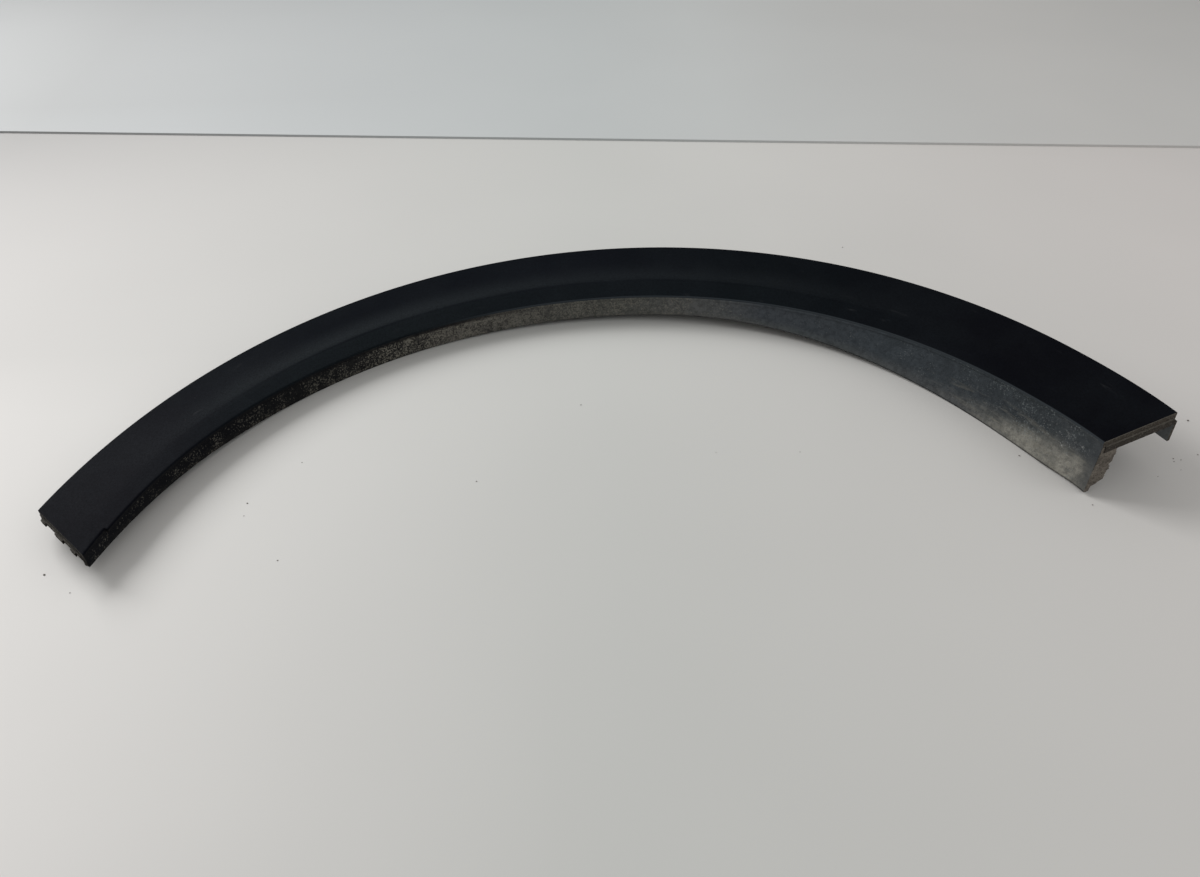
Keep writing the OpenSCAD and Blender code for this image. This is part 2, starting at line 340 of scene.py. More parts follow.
        put(corner((0, low), (out, low), (out, 0), self.outer_foot_round, 3), Zone.WALL)
        put([(out, mix(low, fall, i / 4)) for i in (1, 2, 3)], Zone.WALL)
        put(corner((out, low), (out, fall), (0, -band), self.step_round, 3), Zone.WALL)
        put(corner((out, fall), (0, -band), (0, 0), self.band_round, 2), Zone.FACE)
        put(corner((0, -band), above(0), above(leg), self.edge_round), Zone.FACE)
        put([above(mix(self.edge_round, w - self.lip_round, i / self.face_steps))
             for i in range(1, self.face_steps)], Zone.FACE)
        lip = corner(above(w - leg), (w, -drop), (w, -lip_foot), self.lip_round, 5)
        put(lip[:-1], Zone.FACE)
        put(lip[-1:], Zone.WALL)
        put(corner((w, -drop), (w, -lip_foot), (top, -lip_foot), self.lip_foot_round, 2),
            Zone.WALL)
        put([(top, -lip_foot)], Zone.WALL)
        for part in (i / self.wall_steps for i in range(1, self.wall_steps)):
            put([(mix(top, foot, part), -mix(lip_foot, depth, part))], Zone.WALL)
        put(corner((top, -lip_foot), (foot, -depth), (foot - leg, -depth), self.wall_round, 3),
            Zone.WALL)
        put([(foot - side_foot + self.hair, -depth)], Zone.UNDERSIDE)
        put([(foot - side_foot, -depth + self.foot_fillet)], Zone.UNDERSIDE)
        under_z = above(under_to, wall)[1]
        put([(under_to, min(-lip_foot, under_z - self.foot_fillet))], Zone.UNDERSIDE)
        put(corner((under_to, self.far_down), (under_to, under_z), (under_to - leg, under_z),
                   self.wall_round, 3), Zone.UNDERSIDE)
        near, far = under_to - self.wall_round, thin + self.wall_round
        put([above(mix(near, far, i / self.under_steps), wall)
             for i in range(1, self.under_steps)], Zone.UNDERSIDE)
        near_z = above(thin, wall)[1]
        put(corner((leg, near_z), (thin, near_z), (thin, self.far_down), self.wall_round, 3),
            Zone.UNDERSIDE)
        put([(self.rim_inset, -rim) if solid else (thin, -band - miter)], Zone.UNDERSIDE)
        inner = thin - self.step_out
        put([(inner, -rim if solid else fall - miter), (inner, low)], Zone.UNDERSIDE)
        return points


class Graph:
    """Adds nodes to a tree in a few words."""

    def __init__(self, tree: bpy.types.NodeTree) -> None:
        """Keeps the tree that the nodes go into."""
        self.tree = tree

    def feed(self, socket: bpy.types.NodeSocket, value: object) -> None:
        """Links a socket to another, or sets its value."""
        if isinstance(value, bpy.types.NodeSocket):
            self.tree.links.new(value, socket)
        else:
            socket.default_value = value

    def add(self, kind: str, feeds: dict | None = None, **settings: object) -> bpy.types.Node:
        """Adds one node.

        Args:
            kind: The node's type.
            feeds: Values or sockets by the name or place of the inputs they go to.
            settings: The node's own properties.

        Returns:
            The new node.
        """
        node = self.tree.nodes.new(kind)
        for name, value in settings.items():
            setattr(node, name, value)
        for key, value in (feeds or {}).items():
            self.feed(node.inputs[key], value)
        return node

    def math(self, operation: str, *values: object, clamp: bool = False) -> bpy.types.NodeSocket:
        """Adds a sum of one, two or three values and returns its result."""
        node = self.add("ShaderNodeMath", operation=operation, use_clamp=clamp)
        for socket, value in zip(node.inputs, values):
            self.feed(socket, value)
        return node.outputs[0]

    def plus(self, one: object, two: object) -> bpy.types.NodeSocket:
        """Adds two values up."""
        return self.math("ADD", one, two)

    def minus(self, one: object, two: object) -> bpy.types.NodeSocket:
        """Takes the second value from the first."""
        return self.math("SUBTRACT", one, two)

    def times(self, one: object, two: object) -> bpy.types.NodeSocket:
        """Multiplies two values."""
        return self.math("MULTIPLY", one, two)

    def split(self, vector: object) -> list[bpy.types.NodeSocket]:
        """The three parts of a vector."""
        return list(self.add("ShaderNodeSeparateXYZ", {0: vector}).outputs)

    def join(self, *parts: object) -> bpy.types.NodeSocket:
        """The vector of three parts."""
        return self.add("ShaderNodeCombineXYZ", dict(enumerate(parts))).outputs[0]

    def stretch(self, vector: object, by: tuple[float, float, float]) -> bpy.types.NodeSocket:
        """Multiplies a vector, part by part."""
        return self.add("ShaderNodeVectorMath", {0: vector, 1: by},
                        operation="MULTIPLY").outputs[0]

    def blend(self, part: object, low: object, high: object) -> bpy.types.NodeSocket:
        """Mixes two colours and returns the result."""
        node = self.add("ShaderNodeMix", data_type="RGBA")
        self.feed(node.inputs[0], part)
        for socket, value in ((node.inputs[6], low), (node.inputs[7], high)):
            self.feed(socket, (*value, 1.0) if isinstance(value, tuple) else value)
        return node.outputs[2]

    def scale(self, value: object, low: object, high: object, to_low: object = 0.0,
              to_high: object = 1.0, soft: bool = False) -> bpy.types.NodeSocket:
        """Maps a value from one range to another, held at both ends."""
        node = self.add("ShaderNodeMapRange",
                        interpolation_type="SMOOTHSTEP" if soft else "LINEAR")
        for socket, one in zip(node.inputs, (value, low, high, to_low, to_high)):
            self.feed(socket, one)
        return node.outputs[0]

    def noise(self, vector: object, scale: object, detail: float = 3.0,
              rough: float = 0.55) -> bpy.types.NodeSocket:
        """Adds a noise texture and returns its value."""
        node = self.add("ShaderNodeTexNoise", {"Vector": vector, "Scale": scale,
                                               "Detail": detail, "Roughness": rough})
        return node.outputs[0]

    def here(self) -> bpy.types.NodeSocket:
        """The place on the object, in metres."""
        return self.add("ShaderNodeTexCoord").outputs["Object"]


FLOAT, VECTOR, GEOMETRY = "NodeSocketFloat", "NodeSocketVector", "NodeSocketGeometry"
OBJECT, MATERIAL = "NodeSocketObject", "NodeSocketMaterial"
SHAPE_TREE, SHADER_TREE = "GeometryNodeTree", "ShaderNodeTree"
SHAPE_OUT = [("Geometry", GEOMETRY)]


def new_group(name: str, kind: str, inputs: list[tuple[str, str, object]],
              outputs: list[tuple[str, str]]) -> tuple[Graph, dict, bpy.types.Node]:
    """Starts a node group with named sockets.

    Args:
        name: The group's name.
        kind: The type of tree.
        inputs: Name, socket type and default value of each input.
        outputs: Name and socket type of each output.

    Returns:
        The group's graph, its input sockets by name, and the node that takes its outputs.
    """
    tree = bpy.data.node_groups.new(name, kind)
    for label, socket_type, value in inputs:
        socket = tree.interface.new_socket(label, in_out="INPUT", socket_type=socket_type)
        if value is not None:
            socket.default_value = value
    for label, socket_type in outputs:
        tree.interface.new_socket(label, in_out="OUTPUT", socket_type=socket_type)
    entry = tree.nodes.new("NodeGroupInput")
    leave = tree.nodes.new("NodeGroupOutput")
    return Graph(tree), {socket.name: socket for socket in entry.outputs}, leave


class ArchTools:
    """The geometry groups that bend a strip into the arch and set pieces along it."""

    def __init__(self, form: ArchForm) -> None:
        """Builds the group that every other tree ends in, and the trees of plain strips."""
        self.form = form
        self.bend = self._bend()
        self.skin_tree = self._strip_tree("skin_to_arch", dressed=False)
        self.strip_tree = self._strip_tree("strip_to_arch", dressed=True)

    def _bend(self) -> bpy.types.NodeTree:
        """The group that turns [angle, inward, up] into a place about the wheel's centre."""
        f = self.form
        g, ins, leave = new_group("bend_to_arch", SHAPE_TREE, [
            ("Geometry", GEOMETRY, None), ("Radius", FLOAT, f.radius),
            ("Left Angle", FLOAT, f.left_angle), ("Right Angle", FLOAT, f.right_angle),
            ("Left Cut", FLOAT, f.left_cut), ("Right Cut", FLOAT, f.right_cut),
            ("Slant Run", FLOAT, f.slant_run)], SHAPE_OUT)
        angle, inward, up = g.split(g.add("GeometryNodeInputPosition").outputs[0])
        left, right = g.times(ins["Left Angle"], -1.0), ins["Right Angle"]
        left_cut = g.scale(angle, left, g.plus(left, ins["Slant Run"]), ins["Left Cut"], 0.0,
                           soft=True)
        right_cut = g.scale(angle, g.minus(right, ins["Slant Run"]), right, 0.0,
                            ins["Right Cut"], soft=True)
        cut = g.math("RADIANS", g.minus(left_cut, right_cut))
        a, r = g.math("RADIANS", angle), ins["Radius"]
        turned = g.plus(a, cut)
        inner = g.minus(r, inward)
        off = g.times(r, g.math("SINE", cut))
        root = g.math("SQRT", g.minus(g.times(inner, inner), g.times(off, off)))
        run = g.minus(g.times(r, g.math("COSINE", cut)), root)
        x, y = (g.minus(g.times(r, g.math(way, a)), g.times(run, g.math(way, turned)))
                for way in ("SINE", "COSINE"))
        moved = g.add("GeometryNodeSetPosition", {
            "Geometry": ins["Geometry"], "Position": g.join(x, y, up)})
        g.feed(leave.inputs[0], moved.outputs[0])
        return g.tree

    def _strip_tree(self, name: str, dressed: bool) -> bpy.types.NodeTree:
        """The tree that bends a finished strip, and dresses it where it has one finish."""
        inputs = [("Geometry", GEOMETRY, None)]
        if dressed:
            inputs.append(("Material", MATERIAL, None))
        g, ins, leave = new_group(name, SHAPE_TREE, inputs, SHAPE_OUT)
        return self._finish(g, ins["Geometry"], ins.get("Material"), leave)

    @staticmethod
    def _under(g: Graph, skin: object, across: object, along: object) -> bpy.types.NodeSocket:
        """The height of the skin's underside over a place on the strip."""
        start = g.join(along, across, -RAY_DEPTH)
        shell = g.add("GeometryNodeObjectInfo", {"Object": skin}, transform_space="ORIGINAL")
        ray = g.add("GeometryNodeRaycast", {
            "Target Geometry": shell.outputs["Geometry"], "Source Position": start,
            "Ray Direction": (0.0, 0.0, 1.0), "Ray Length": 2 * RAY_DEPTH}, data_type="FLOAT")
        hit = next(s for s in ray.outputs if s.name == "Hit Position")
        return g.split(hit)[2]

    @staticmethod
    def _repeat(g: Graph, points: object, piece: object, size: object) -> bpy.types.NodeSocket:
        """A copy of a piece on each point, made plain."""
        copies = g.add("GeometryNodeInstanceOnPoints", {
            "Points": points, "Instance": piece, "Scale": size})
        return g.add("GeometryNodeRealizeInstances", {0: copies.outputs[0]}).outputs[0]

    def ribs_tree(self) -> bpy.types.NodeTree:
        """The tree that sets a rib on each point of a row and fits it under the skin."""
        g, ins, leave = new_group("cross_ribs", SHAPE_TREE, [
            ("Geometry", GEOMETRY, None), ("Skin", OBJECT, None), ("Thickness", FLOAT, 0.22),
            ("Height", FLOAT, 6.0), ("Into Wall", FLOAT, 1.25), ("Into Face", FLOAT, 1.2),
            ("Outer Corner", FLOAT, 3.4), ("Inner Corner", FLOAT, 2.2),
            ("Material", MATERIAL, None)], SHAPE_OUT)
        reach = g.add("GeometryNodeInputNamedAttribute", {"Name": "reach"},
                      data_type="FLOAT").outputs[0]
        plate = g.add("GeometryNodeMeshCube", {
            "Size": (1.0, 1.0, 1.0), "Vertices X": 2, "Vertices Y": 15, "Vertices Z": 2})
        size = g.join(ins["Thickness"], g.minus(reach, ins["Into Wall"]), 1.0)
        plain = self._repeat(g, ins["Geometry"], plate.outputs[0], size)
        along, aside, up = g.split(g.add("GeometryNodeInputPosition").outputs[0])
        across = g.plus(aside, g.times(g.plus(reach, ins["Into Wall"]), 0.5))
        held = g.math("MINIMUM", g.math("MAXIMUM", across, ins["Outer Corner"]),
                      g.minus(reach, ins["Inner Corner"]))
        under = self._under(g, ins["Skin"], held, along)
        is_top = g.math("GREATER_THAN", up, 0.0)
        lift = g.minus(g.times(is_top, g.plus(ins["Height"], ins["Into Face"])), ins["Height"])
        spot = g.join(along, across, g.plus(under, lift))
        fitted = g.add("GeometryNodeSetPosition", {"Geometry": plain, "Position": spot})
        return self._finish(g, fitted.outputs[0], ins["Material"], leave)

    def seats_tree(self) -> bpy.types.NodeTree:
        """The tree that sets a clip seat on each point and runs its walls up into the face."""
        g, ins, leave = new_group("clip_seats", SHAPE_TREE, [
            ("Geometry", GEOMETRY, None), ("Skin", OBJECT, None), ("Seat", OBJECT, None),
            ("Into Face", FLOAT, 1.2), ("Material", MATERIAL, None)], SHAPE_OUT)
        seat = g.add("GeometryNodeObjectInfo", {"Object": ins["Seat"]},
                     transform_space="ORIGINAL")
        plain = self._repeat(g, ins["Geometry"], seat.outputs["Geometry"], (1.0, 1.0, 1.0))
        roof = g.add("GeometryNodeInputNamedAttribute", {"Name": "roof"},
                     data_type="FLOAT").outputs[0]
        along, across, up = g.split(g.add("GeometryNodeInputPosition").outputs[0])
        high = g.plus(self._under(g, ins["Skin"], across, along), ins["Into Face"])
        z = g.plus(g.times(roof, high), g.times(g.minus(1.0, roof), up))
        fitted = g.add("GeometryNodeSetPosition", {
            "Geometry": plain, "Position": g.join(along, across, z)})
        return self._finish(g, fitted.outputs[0], ins["Material"], leave)

    def _finish(self, g: Graph, geometry: object, material: object | None,
                leave: bpy.types.Node) -> bpy.types.NodeTree:
        """Ends a tree: bent, made plain, and given its material where there is one."""
        bent = g.add("GeometryNodeGroup", node_tree=self.bend)
        g.feed(bent.inputs["Geometry"], geometry)
        last = g.add("GeometryNodeRealizeInstances", {0: bent.outputs[0]})
        if material is not None:
            last = g.add("GeometryNodeSetMaterial", {0: last.outputs[0], "Material": material})
        g.feed(leave.inputs[0], last.outputs[0])
        return g.tree


@dataclass(frozen=True)
class Rest:
    """How the trim lies: three axes of the table in the drawing's frame, and the shift."""

    across: Vector
    ahead: Vector
    up: Vector
    shift: Vector

    @classmethod
    def of(cls, form: ArchForm, places: list[Vector]) -> "Rest":
        """Lays the trim on its three contact spots.

        Args:
            form: The moulding's sizes.
            places: Every point of the skin, about the wheel's centre.

        Returns:
            The rest pose, with the origin under the middle of the trim's box.
        """
        right, left = form.foot(form.rest_right), form.foot(form.rest_left)
        back = form.plan(form.rest_back, -form.step_out, -form.outer_depth(form.rest_back))
        up = (left - right).cross(right - back).normalized()
        across = Vector((0, 1, 0)).cross(up).normalized()
        ahead = up.cross(across)
        turned = [(p.dot(across), p.dot(ahead), p.dot(up)) for p in places]
        lows = [min(t[i] for t in turned) for i in range(3)]
        highs = [max(t[i] for t in turned) for i in range(3)]
        shift = Vector((-(lows[0] + highs[0]) / 2, -(lows[1] + highs[1]) / 2, -lows[2]))
        return cls(across, ahead, up, shift)

    def turn(self, way: Vector) -> Vector:
        """A direction of the drawing, in the table's frame."""
        return Vector((way.dot(self.across), way.dot(self.ahead), way.dot(self.up)))

    def matrix(self) -> Matrix:
        """From the drawing's millimetres to metres on the table."""
        rows = [(*axis, move) for axis, move in zip(
            (self.across, self.ahead, self.up), self.shift)]
        return Matrix.Scale(MM, 4) @ Matrix((*rows, (0, 0, 0, 1)))


def new_object(name: str, mesh: bpy.types.Mesh) -> bpy.types.Object:
    """Links a new object with that mesh at the origin."""
    piece = bpy.data.objects.new(name, mesh)
    bpy.context.scene.collection.objects.link(piece)
    return piece


def closed_piece(name: str, bm: bmesh.types.BMesh) -> bpy.types.Object:
    """Turns the faces of a drawn shape one way and makes an object of it."""
    bmesh.ops.recalc_face_normals(bm, faces=bm.faces)
    mesh = bpy.data.meshes.new(name)
    bm.to_mesh(mesh)
    bm.free()
    return new_object(name, mesh)


def bar(bm: bmesh.types.BMesh, rings: list[list[bmesh.types.BMVert]]) -> None:
    """Joins a row of four-cornered rings into a closed bar."""
    for near, far in zip(rings, rings[1:]):
        for k in range(4):
            bm.faces.new((near[k], near[(k + 1) % 4], far[(k + 1) % 4], far[k]))
    bm.faces.new(rings[0][::-1])
    bm.faces.new(rings[-1])


def row_of_points(name: str, first: float, pitch: float, a_side: int) -> bpy.types.Object:
    """A row of points on the strip, on both sides of the crown, for pieces to stand on."""
    angles = [side.value * (first + i * pitch) for i in range(a_side) for side in Side]
    mesh = bpy.data.meshes.new(name)
    mesh.from_pydata([(angle, 0.0, 0.0) for angle in angles], [], [])
    return new_object(name, mesh)


def set_inputs(modifier: bpy.types.Modifier, values: dict[str, object]) -> None:
    """Sets a geometry modifier's inputs by the identifiers of the sockets with those names."""
    for item in modifier.node_group.interface.items_tree:
        if item.item_type == "SOCKET" and item.in_out == "INPUT" and item.name in values:
            modifier[item.identifier] = values[item.name]


def grow(piece: bpy.types.Object, tree: bpy.types.NodeTree, values: dict[str, object],
         rest: Rest) -> None:
    """Runs a geometry tree on a piece, keeps its result as a plain mesh and lays it down.

    Args:
        piece: The piece whose mesh is the tree's input.
        tree: The geometry tree.
        values: The tree's inputs by name.
        rest: How the trim lies.
    """
    modifier = piece.modifiers.new("shape", "NODES")
    modifier.node_group = tree
    set_inputs(modifier, values)
    graph = bpy.context.evaluated_depsgraph_get()
    mesh = bpy.data.meshes.new_from_object(piece.evaluated_get(graph),
                                           preserve_all_data_layers=True, depsgraph=graph)
    piece.modifiers.remove(modifier)
    old = piece.data
    piece.data = mesh
    mesh.name = piece.name
    if old.users == 0:
        bpy.data.meshes.remove(old)
    mesh.transform(rest.matrix())
    mesh.flip_normals()
    for polygon in mesh.polygons:
        polygon.use_smooth = True
    mesh.set_sharp_from_angle(angle=math.radians(SHARP_DEGREES))
    mesh.update()


class Strip:
    """A shape drawn on the straight strip, whose points keep their place for the finishes."""

    def __init__(self, form: ArchForm) -> None:
        """Starts an empty shape."""
        self.form = form
        self.bm = bmesh.new()
        self.place = self.bm.verts.layers.float_vector.new("strip")
        self.shares = self.bm.verts.layers.float_vector.new("shares")

    def point(self, angle: float, section: float, spot: Pair, down: float,
              under: float) -> bmesh.types.BMVert:
        """Adds a point.

        Args:
            angle: Its angle from the crown.
            section: The angle of the section that it belongs to.
            spot: Its place in that section, inward and up.
            down: The share of the way down the inner flange.
            under: Its depth under the face.

        Returns:
            The new point.
        """
        form, (inward, up) = self.form, spot
        vert = self.bm.verts.new((angle, inward - form.run_out(section), up))
        vert[self.place] = (math.radians(angle) * form.radius * MM, inward * MM, up * MM)
        vert[self.shares] = (inward / form.width(section), down, under)
        return vert


class Group(Enum):
    """The effects that more than one finish uses."""

    GRAIN = "moulded_grain"
    DUST = "dust_flecks"
    CRUST = "caked_crust"


class Effects:
    """The shared shader groups, each built once."""

    def __init__(self) -> None:
        """Builds the groups."""
        self.trees = {Group.GRAIN: self._grain(), Group.DUST: self._dust(),
                      Group.CRUST: self._crust()}

    @staticmethod
    def _grain() -> bpy.types.NodeTree:
        """Fine leathery grain: its height, and how deep a place lies in it."""
        g, ins, leave = new_group(Group.GRAIN.value, SHADER_TREE, [
            ("Vector", VECTOR, None), ("Scale", FLOAT, 1100.0)],
            [("Height", FLOAT), ("Pit", FLOAT)])
        cells = g.add("ShaderNodeTexVoronoi", {"Vector": ins["Vector"], "Scale": ins["Scale"]},
                      feature="SMOOTH_F1")
        g.feed(cells.inputs["Smoothness"], 0.4)
        fine = g.noise(ins["Vector"], g.times(ins["Scale"], 0.45), 4.0, 0.6)
        height = g.plus(g.times(cells.outputs["Distance"], 0.6), g.times(fine, 0.7))
        g.feed(leave.inputs["Height"], height)
        g.feed(leave.inputs["Pit"], g.scale(height, 0.35, 0.85))
        return g.tree

    @staticmethod
    def _dust() -> bpy.types.NodeTree:
        """Pale flecks and a thin film, thicker where Amount is higher."""
        g, ins, leave = new_group(Group.DUST.value, SHADER_TREE, [
            ("Vector", VECTOR, None), ("Amount", FLOAT, 0.3), ("Scale", FLOAT, 260.0)],
            [("Flecks", FLOAT), ("Film", FLOAT)])
        small = g.noise(ins["Vector"], ins["Scale"], 5.0, 0.7)
        wide = g.noise(ins["Vector"], g.times(ins["Scale"], 0.11), 3.0, 0.5)
        level = g.plus(g.times(wide, 0.5), g.times(ins["Amount"], 0.5))
        edge = g.minus(0.86, g.times(level, 0.62))
        flecks = g.math("MULTIPLY", g.minus(small, edge), 14.0, clamp=True)
        g.feed(leave.inputs["Flecks"], flecks)
        g.feed(leave.inputs["Film"], g.scale(level, 0.2, 0.75))
        return g.tree

    @staticmethod
    def _crust() -> bpy.types.NodeTree:
        """Lumpy dried mud: its height and its crumbs."""
        g, ins, leave = new_group(Group.CRUST.value, SHADER_TREE, [
            ("Vector", VECTOR, None), ("Scale", FLOAT, 420.0)],
            [("Height", FLOAT), ("Crumbs", FLOAT)])
        lumps = g.noise(ins["Vector"], ins["Scale"], 6.0, 0.68)
        cells = g.add("ShaderNodeTexVoronoi", {
            "Vector": ins["Vector"], "Scale": g.times(ins["Scale"], 1.7)})
        height = g.minus(lumps, g.times(cells.outputs["Distance"], 0.35))
        g.feed(leave.inputs["Height"], height)
        g.feed(leave.inputs["Crumbs"], g.scale(height, 0.12, 0.42))
        return g.tree

    def place(self, g: Graph, which: Group, **feeds: object) -> dict[str, bpy.types.NodeSocket]:
        """Puts a shared group into a material with its own values, and returns its outputs."""
        node = g.add("ShaderNodeGroup", node_tree=self.trees[which])
        for name, value in feeds.items():
            g.feed(node.inputs[name], value)
        return {socket.name: socket for socket in node.outputs}


def start_material(name: str) -> tuple[bpy.types.Material, Graph, bpy.types.Node]:
    """A new material with its graph and its one shader."""
    material = bpy.data.materials.new(name)
    material.use_nodes = True
    shader = material.node_tree.nodes["Principled BSDF"]
    return material, Graph(material.node_tree), shader


def dress_shader(g: Graph, shader: bpy.types.Node, colour: object, roughness: object,
                 specular: float, relief: tuple[float, float, object] | None = None) -> None:
    """Feeds a shader.

    Args:
        g: The material's graph.
        shader: Its shader.
        colour: The base colour.
        roughness: The roughness, a number or a mask.
        specular: The specular level.
        relief: The bump's strength, its depth in metres and its height mask.
    """
    g.feed(shader.inputs["Base Color"], colour)
    g.feed(shader.inputs["Roughness"], roughness)
    g.feed(shader.inputs["Specular IOR Level"], specular)
    if relief is not None:
        bump = g.add("ShaderNodeBump", dict(zip(("Strength", "Distance", "Height"), relief)))
        g.feed(shader.inputs["Normal"], bump.outputs[0])


def strip_place(g: Graph) -> tuple[object, ...]:
    """The place on the strip: its vector in metres, the share of the way from the left end to
    the right, the share of the way across the face, the share of the way down the inner
    flange, and the depth under the face in millimetres."""
    vector = g.add("ShaderNodeAttribute", attribute_name="strip").outputs["Vector"]
    half = math.radians(ArchForm.left_angle) * ArchForm.radius * MM
    part = g.scale(g.split(vector)[0], -half, half)
    shares = g.add("ShaderNodeAttribute", attribute_name="shares").outputs["Vector"]
    return (vector, part, *g.split(shares))


def ramp(g: Graph, value: object, stops: Stops) -> bpy.types.NodeSocket:
    """A colour ramp over the stops, which run from 0 to 1."""
    node = g.add("ShaderNodeValToRGB", {0: value})
    bar_of_stops = node.color_ramp
    while len(bar_of_stops.elements) < len(stops):
        bar_of_stops.elements.new(0.5)
    for element, (at, colour) in zip(bar_of_stops.elements, stops):
        element.position = at
        element.color = (*colour, 1.0)
    return node.outputs[0]


def grey_ramp(g: Graph, value: object, stops: tuple[Pair, ...]) -> bpy.types.NodeSocket:
    """A ramp of plain values over the stops, which run from 0 to 1."""
    return ramp(g, value, tuple((at, (grey, grey, grey)) for at, grey in stops))


@dataclass(frozen=True)
class GrainedFace:
    """Weathered black plastic with a fine moulded grain, and painted light: a painted sheen
    that makes it a little paler to the left, a painted highlight along the ridge, a painted
    sheen on the inner band and a painted highlight on the lip's edge.

    The colours come first, then the masks, then the noises. Dust has its amount and scale,
    and relief its strength and its depth in metres, here and in the other finishes.
    """

    # The tones along the arch; the paler left is a painted sheen.
    tones: Stops = (
        (0.0, (0.0034, 0.0038, 0.0066)), (0.09, (0.0030, 0.0034, 0.0066)),
        (0.15, (0.0026, 0.0042, 0.0074)), (0.25, (0.0014, 0.0030, 0.0060)),
        (0.50, (0.0040, 0.0056, 0.0090)), (0.65, (0.0024, 0.0043, 0.0062)),
        (0.85, (0.0028, 0.0033, 0.0056)), (1.0, (0.0020, 0.0024, 0.0044)))
    # A painted highlight along the ridge, and a painted sheen on the inner band.
    ridge: Colour = (0.0140, 0.0178, 0.0210)
    inner: Colour = (0.0078, 0.0112, 0.0138)
    pit: Colour = (0.0010, 0.0010, 0.0014)
    fleck: Colour = (0.050, 0.050, 0.050)
    scuff: Colour = (0.026, 0.027, 0.029)
    # A painted highlight on the lip's edge.
    edge: Colour = (0.040, 0.047, 0.053)
    # How strongly the painted highlight and sheen show along the arch, and where they lie
    # across.
    sheen_fading: tuple[Pair, ...] = ((0.06, 0.0), (0.20, 0.9), (0.32, 1.0), (0.50, 0.62),
                                (0.65, 0.45), (0.80, 0.0))
    ridge_highlight_rises: Span = (0.30, 0.70)
    ridge_highlight_falls: Span = (0.715, 0.765, 1.0, 0.0)
    inner_sheen_starts: Span = (0.74, 0.79)
    cloudy: Span = (0.42, 0.7, 0.0, 0.30)
    scuffed: Span = (0.66, 0.74)
    scuffs_in: Span = (0.52, 0.62)
    # Where the lip's painted highlight lies, across the face and along the arch.
    lip_highlight_starts: Span = (0.985, 0.994)
    lip_highlight_along: Span = (0.30, 0.44, 0.0, 0.7)
    wavering: Span = (14.0, 3.0)
    clouds: Span = (11.0, 5.0, 0.6)
    scuffs: Span = (1.0, 3.0, 0.6)
    scuff_patches: Span = (7.0, 2.0)
    drawn_out: tuple[float, float, float] = (26.0, 120.0, 120.0)
    grain: float = 1150.0
    dust: Pair = (0.02, 420.0)
    waver: float = 0.05
    pit_depth: float = 0.55
    scuff_strength: float = 0.35
    fleck_strength: float = 0.35
    roughness: float = 0.62
    rougher: float = 0.74
    specular: float = 0.03
    relief: Pair = (0.55, 0.00012)

    def build(self, effects: Effects) -> bpy.types.Material:
        """Builds the material."""
        material, g, shader = start_material("grained_black_plastic")
        vector, part, across, _, _ = strip_place(g)
        place = g.here()
        # Painted highlight along the ridge and painted sheen on the inner band, faded along the
        # arch.
        sheen_share = grey_ramp(g, part, self.sheen_fading)
        waver = g.times(g.minus(g.noise(place, *self.wavering), 0.5), self.waver)
        where = g.plus(across, waver)
        ridge_highlight_mask = g.times(sheen_share, g.times(g.scale(where, *self.ridge_highlight_rises, soft=True),
                                     g.scale(where, *self.ridge_highlight_falls, soft=True)))
        ridge_highlighted = g.blend(ridge_highlight_mask, ramp(g, part, self.tones), self.ridge)
        inner_sheen_mask = g.times(sheen_share, g.scale(across, *self.inner_sheen_starts, soft=True))
        inner_sheened = g.blend(inner_sheen_mask, ridge_highlighted, self.inner)
        grain = effects.place(g, Group.GRAIN, Vector=place, Scale=self.grain)
        dust = effects.place(g, Group.DUST, Vector=place, Amount=self.dust[0],
                             Scale=self.dust[1])
        # Random pale clouds, in the colour of the ridge's painted highlight.
        cloud = g.scale(g.noise(place, *self.clouds), *self.cloudy)
        tone = g.blend(cloud, inner_sheened, self.ridge)
        pitted = g.blend(g.times(grain["Pit"], self.pit_depth), tone, self.pit)
        strokes = g.noise(g.stretch(vector, self.drawn_out), *self.scuffs)
        scuffs = g.times(g.scale(strokes, *self.scuffed),
                         g.scale(g.noise(place, *self.scuff_patches), *self.scuffs_in))
        marked = g.blend(g.times(scuffs, self.scuff_strength), pitted, self.scuff)
        flecks = g.times(dust["Flecks"], self.fleck_strength)
        flecked = g.blend(flecks, marked, self.fleck)
        # A painted highlight on the lip's edge, over its right part.
        lip = g.times(g.scale(across, *self.lip_highlight_starts),
                      g.scale(part, *self.lip_highlight_along, soft=True))
        dress_shader(g, shader, g.blend(lip, flecked, self.edge),
                     g.scale(grain["Pit"], 0.0, 1.0, self.roughness, self.rougher),
                     self.specular, (*self.relief, grain["Height"]))
        return material


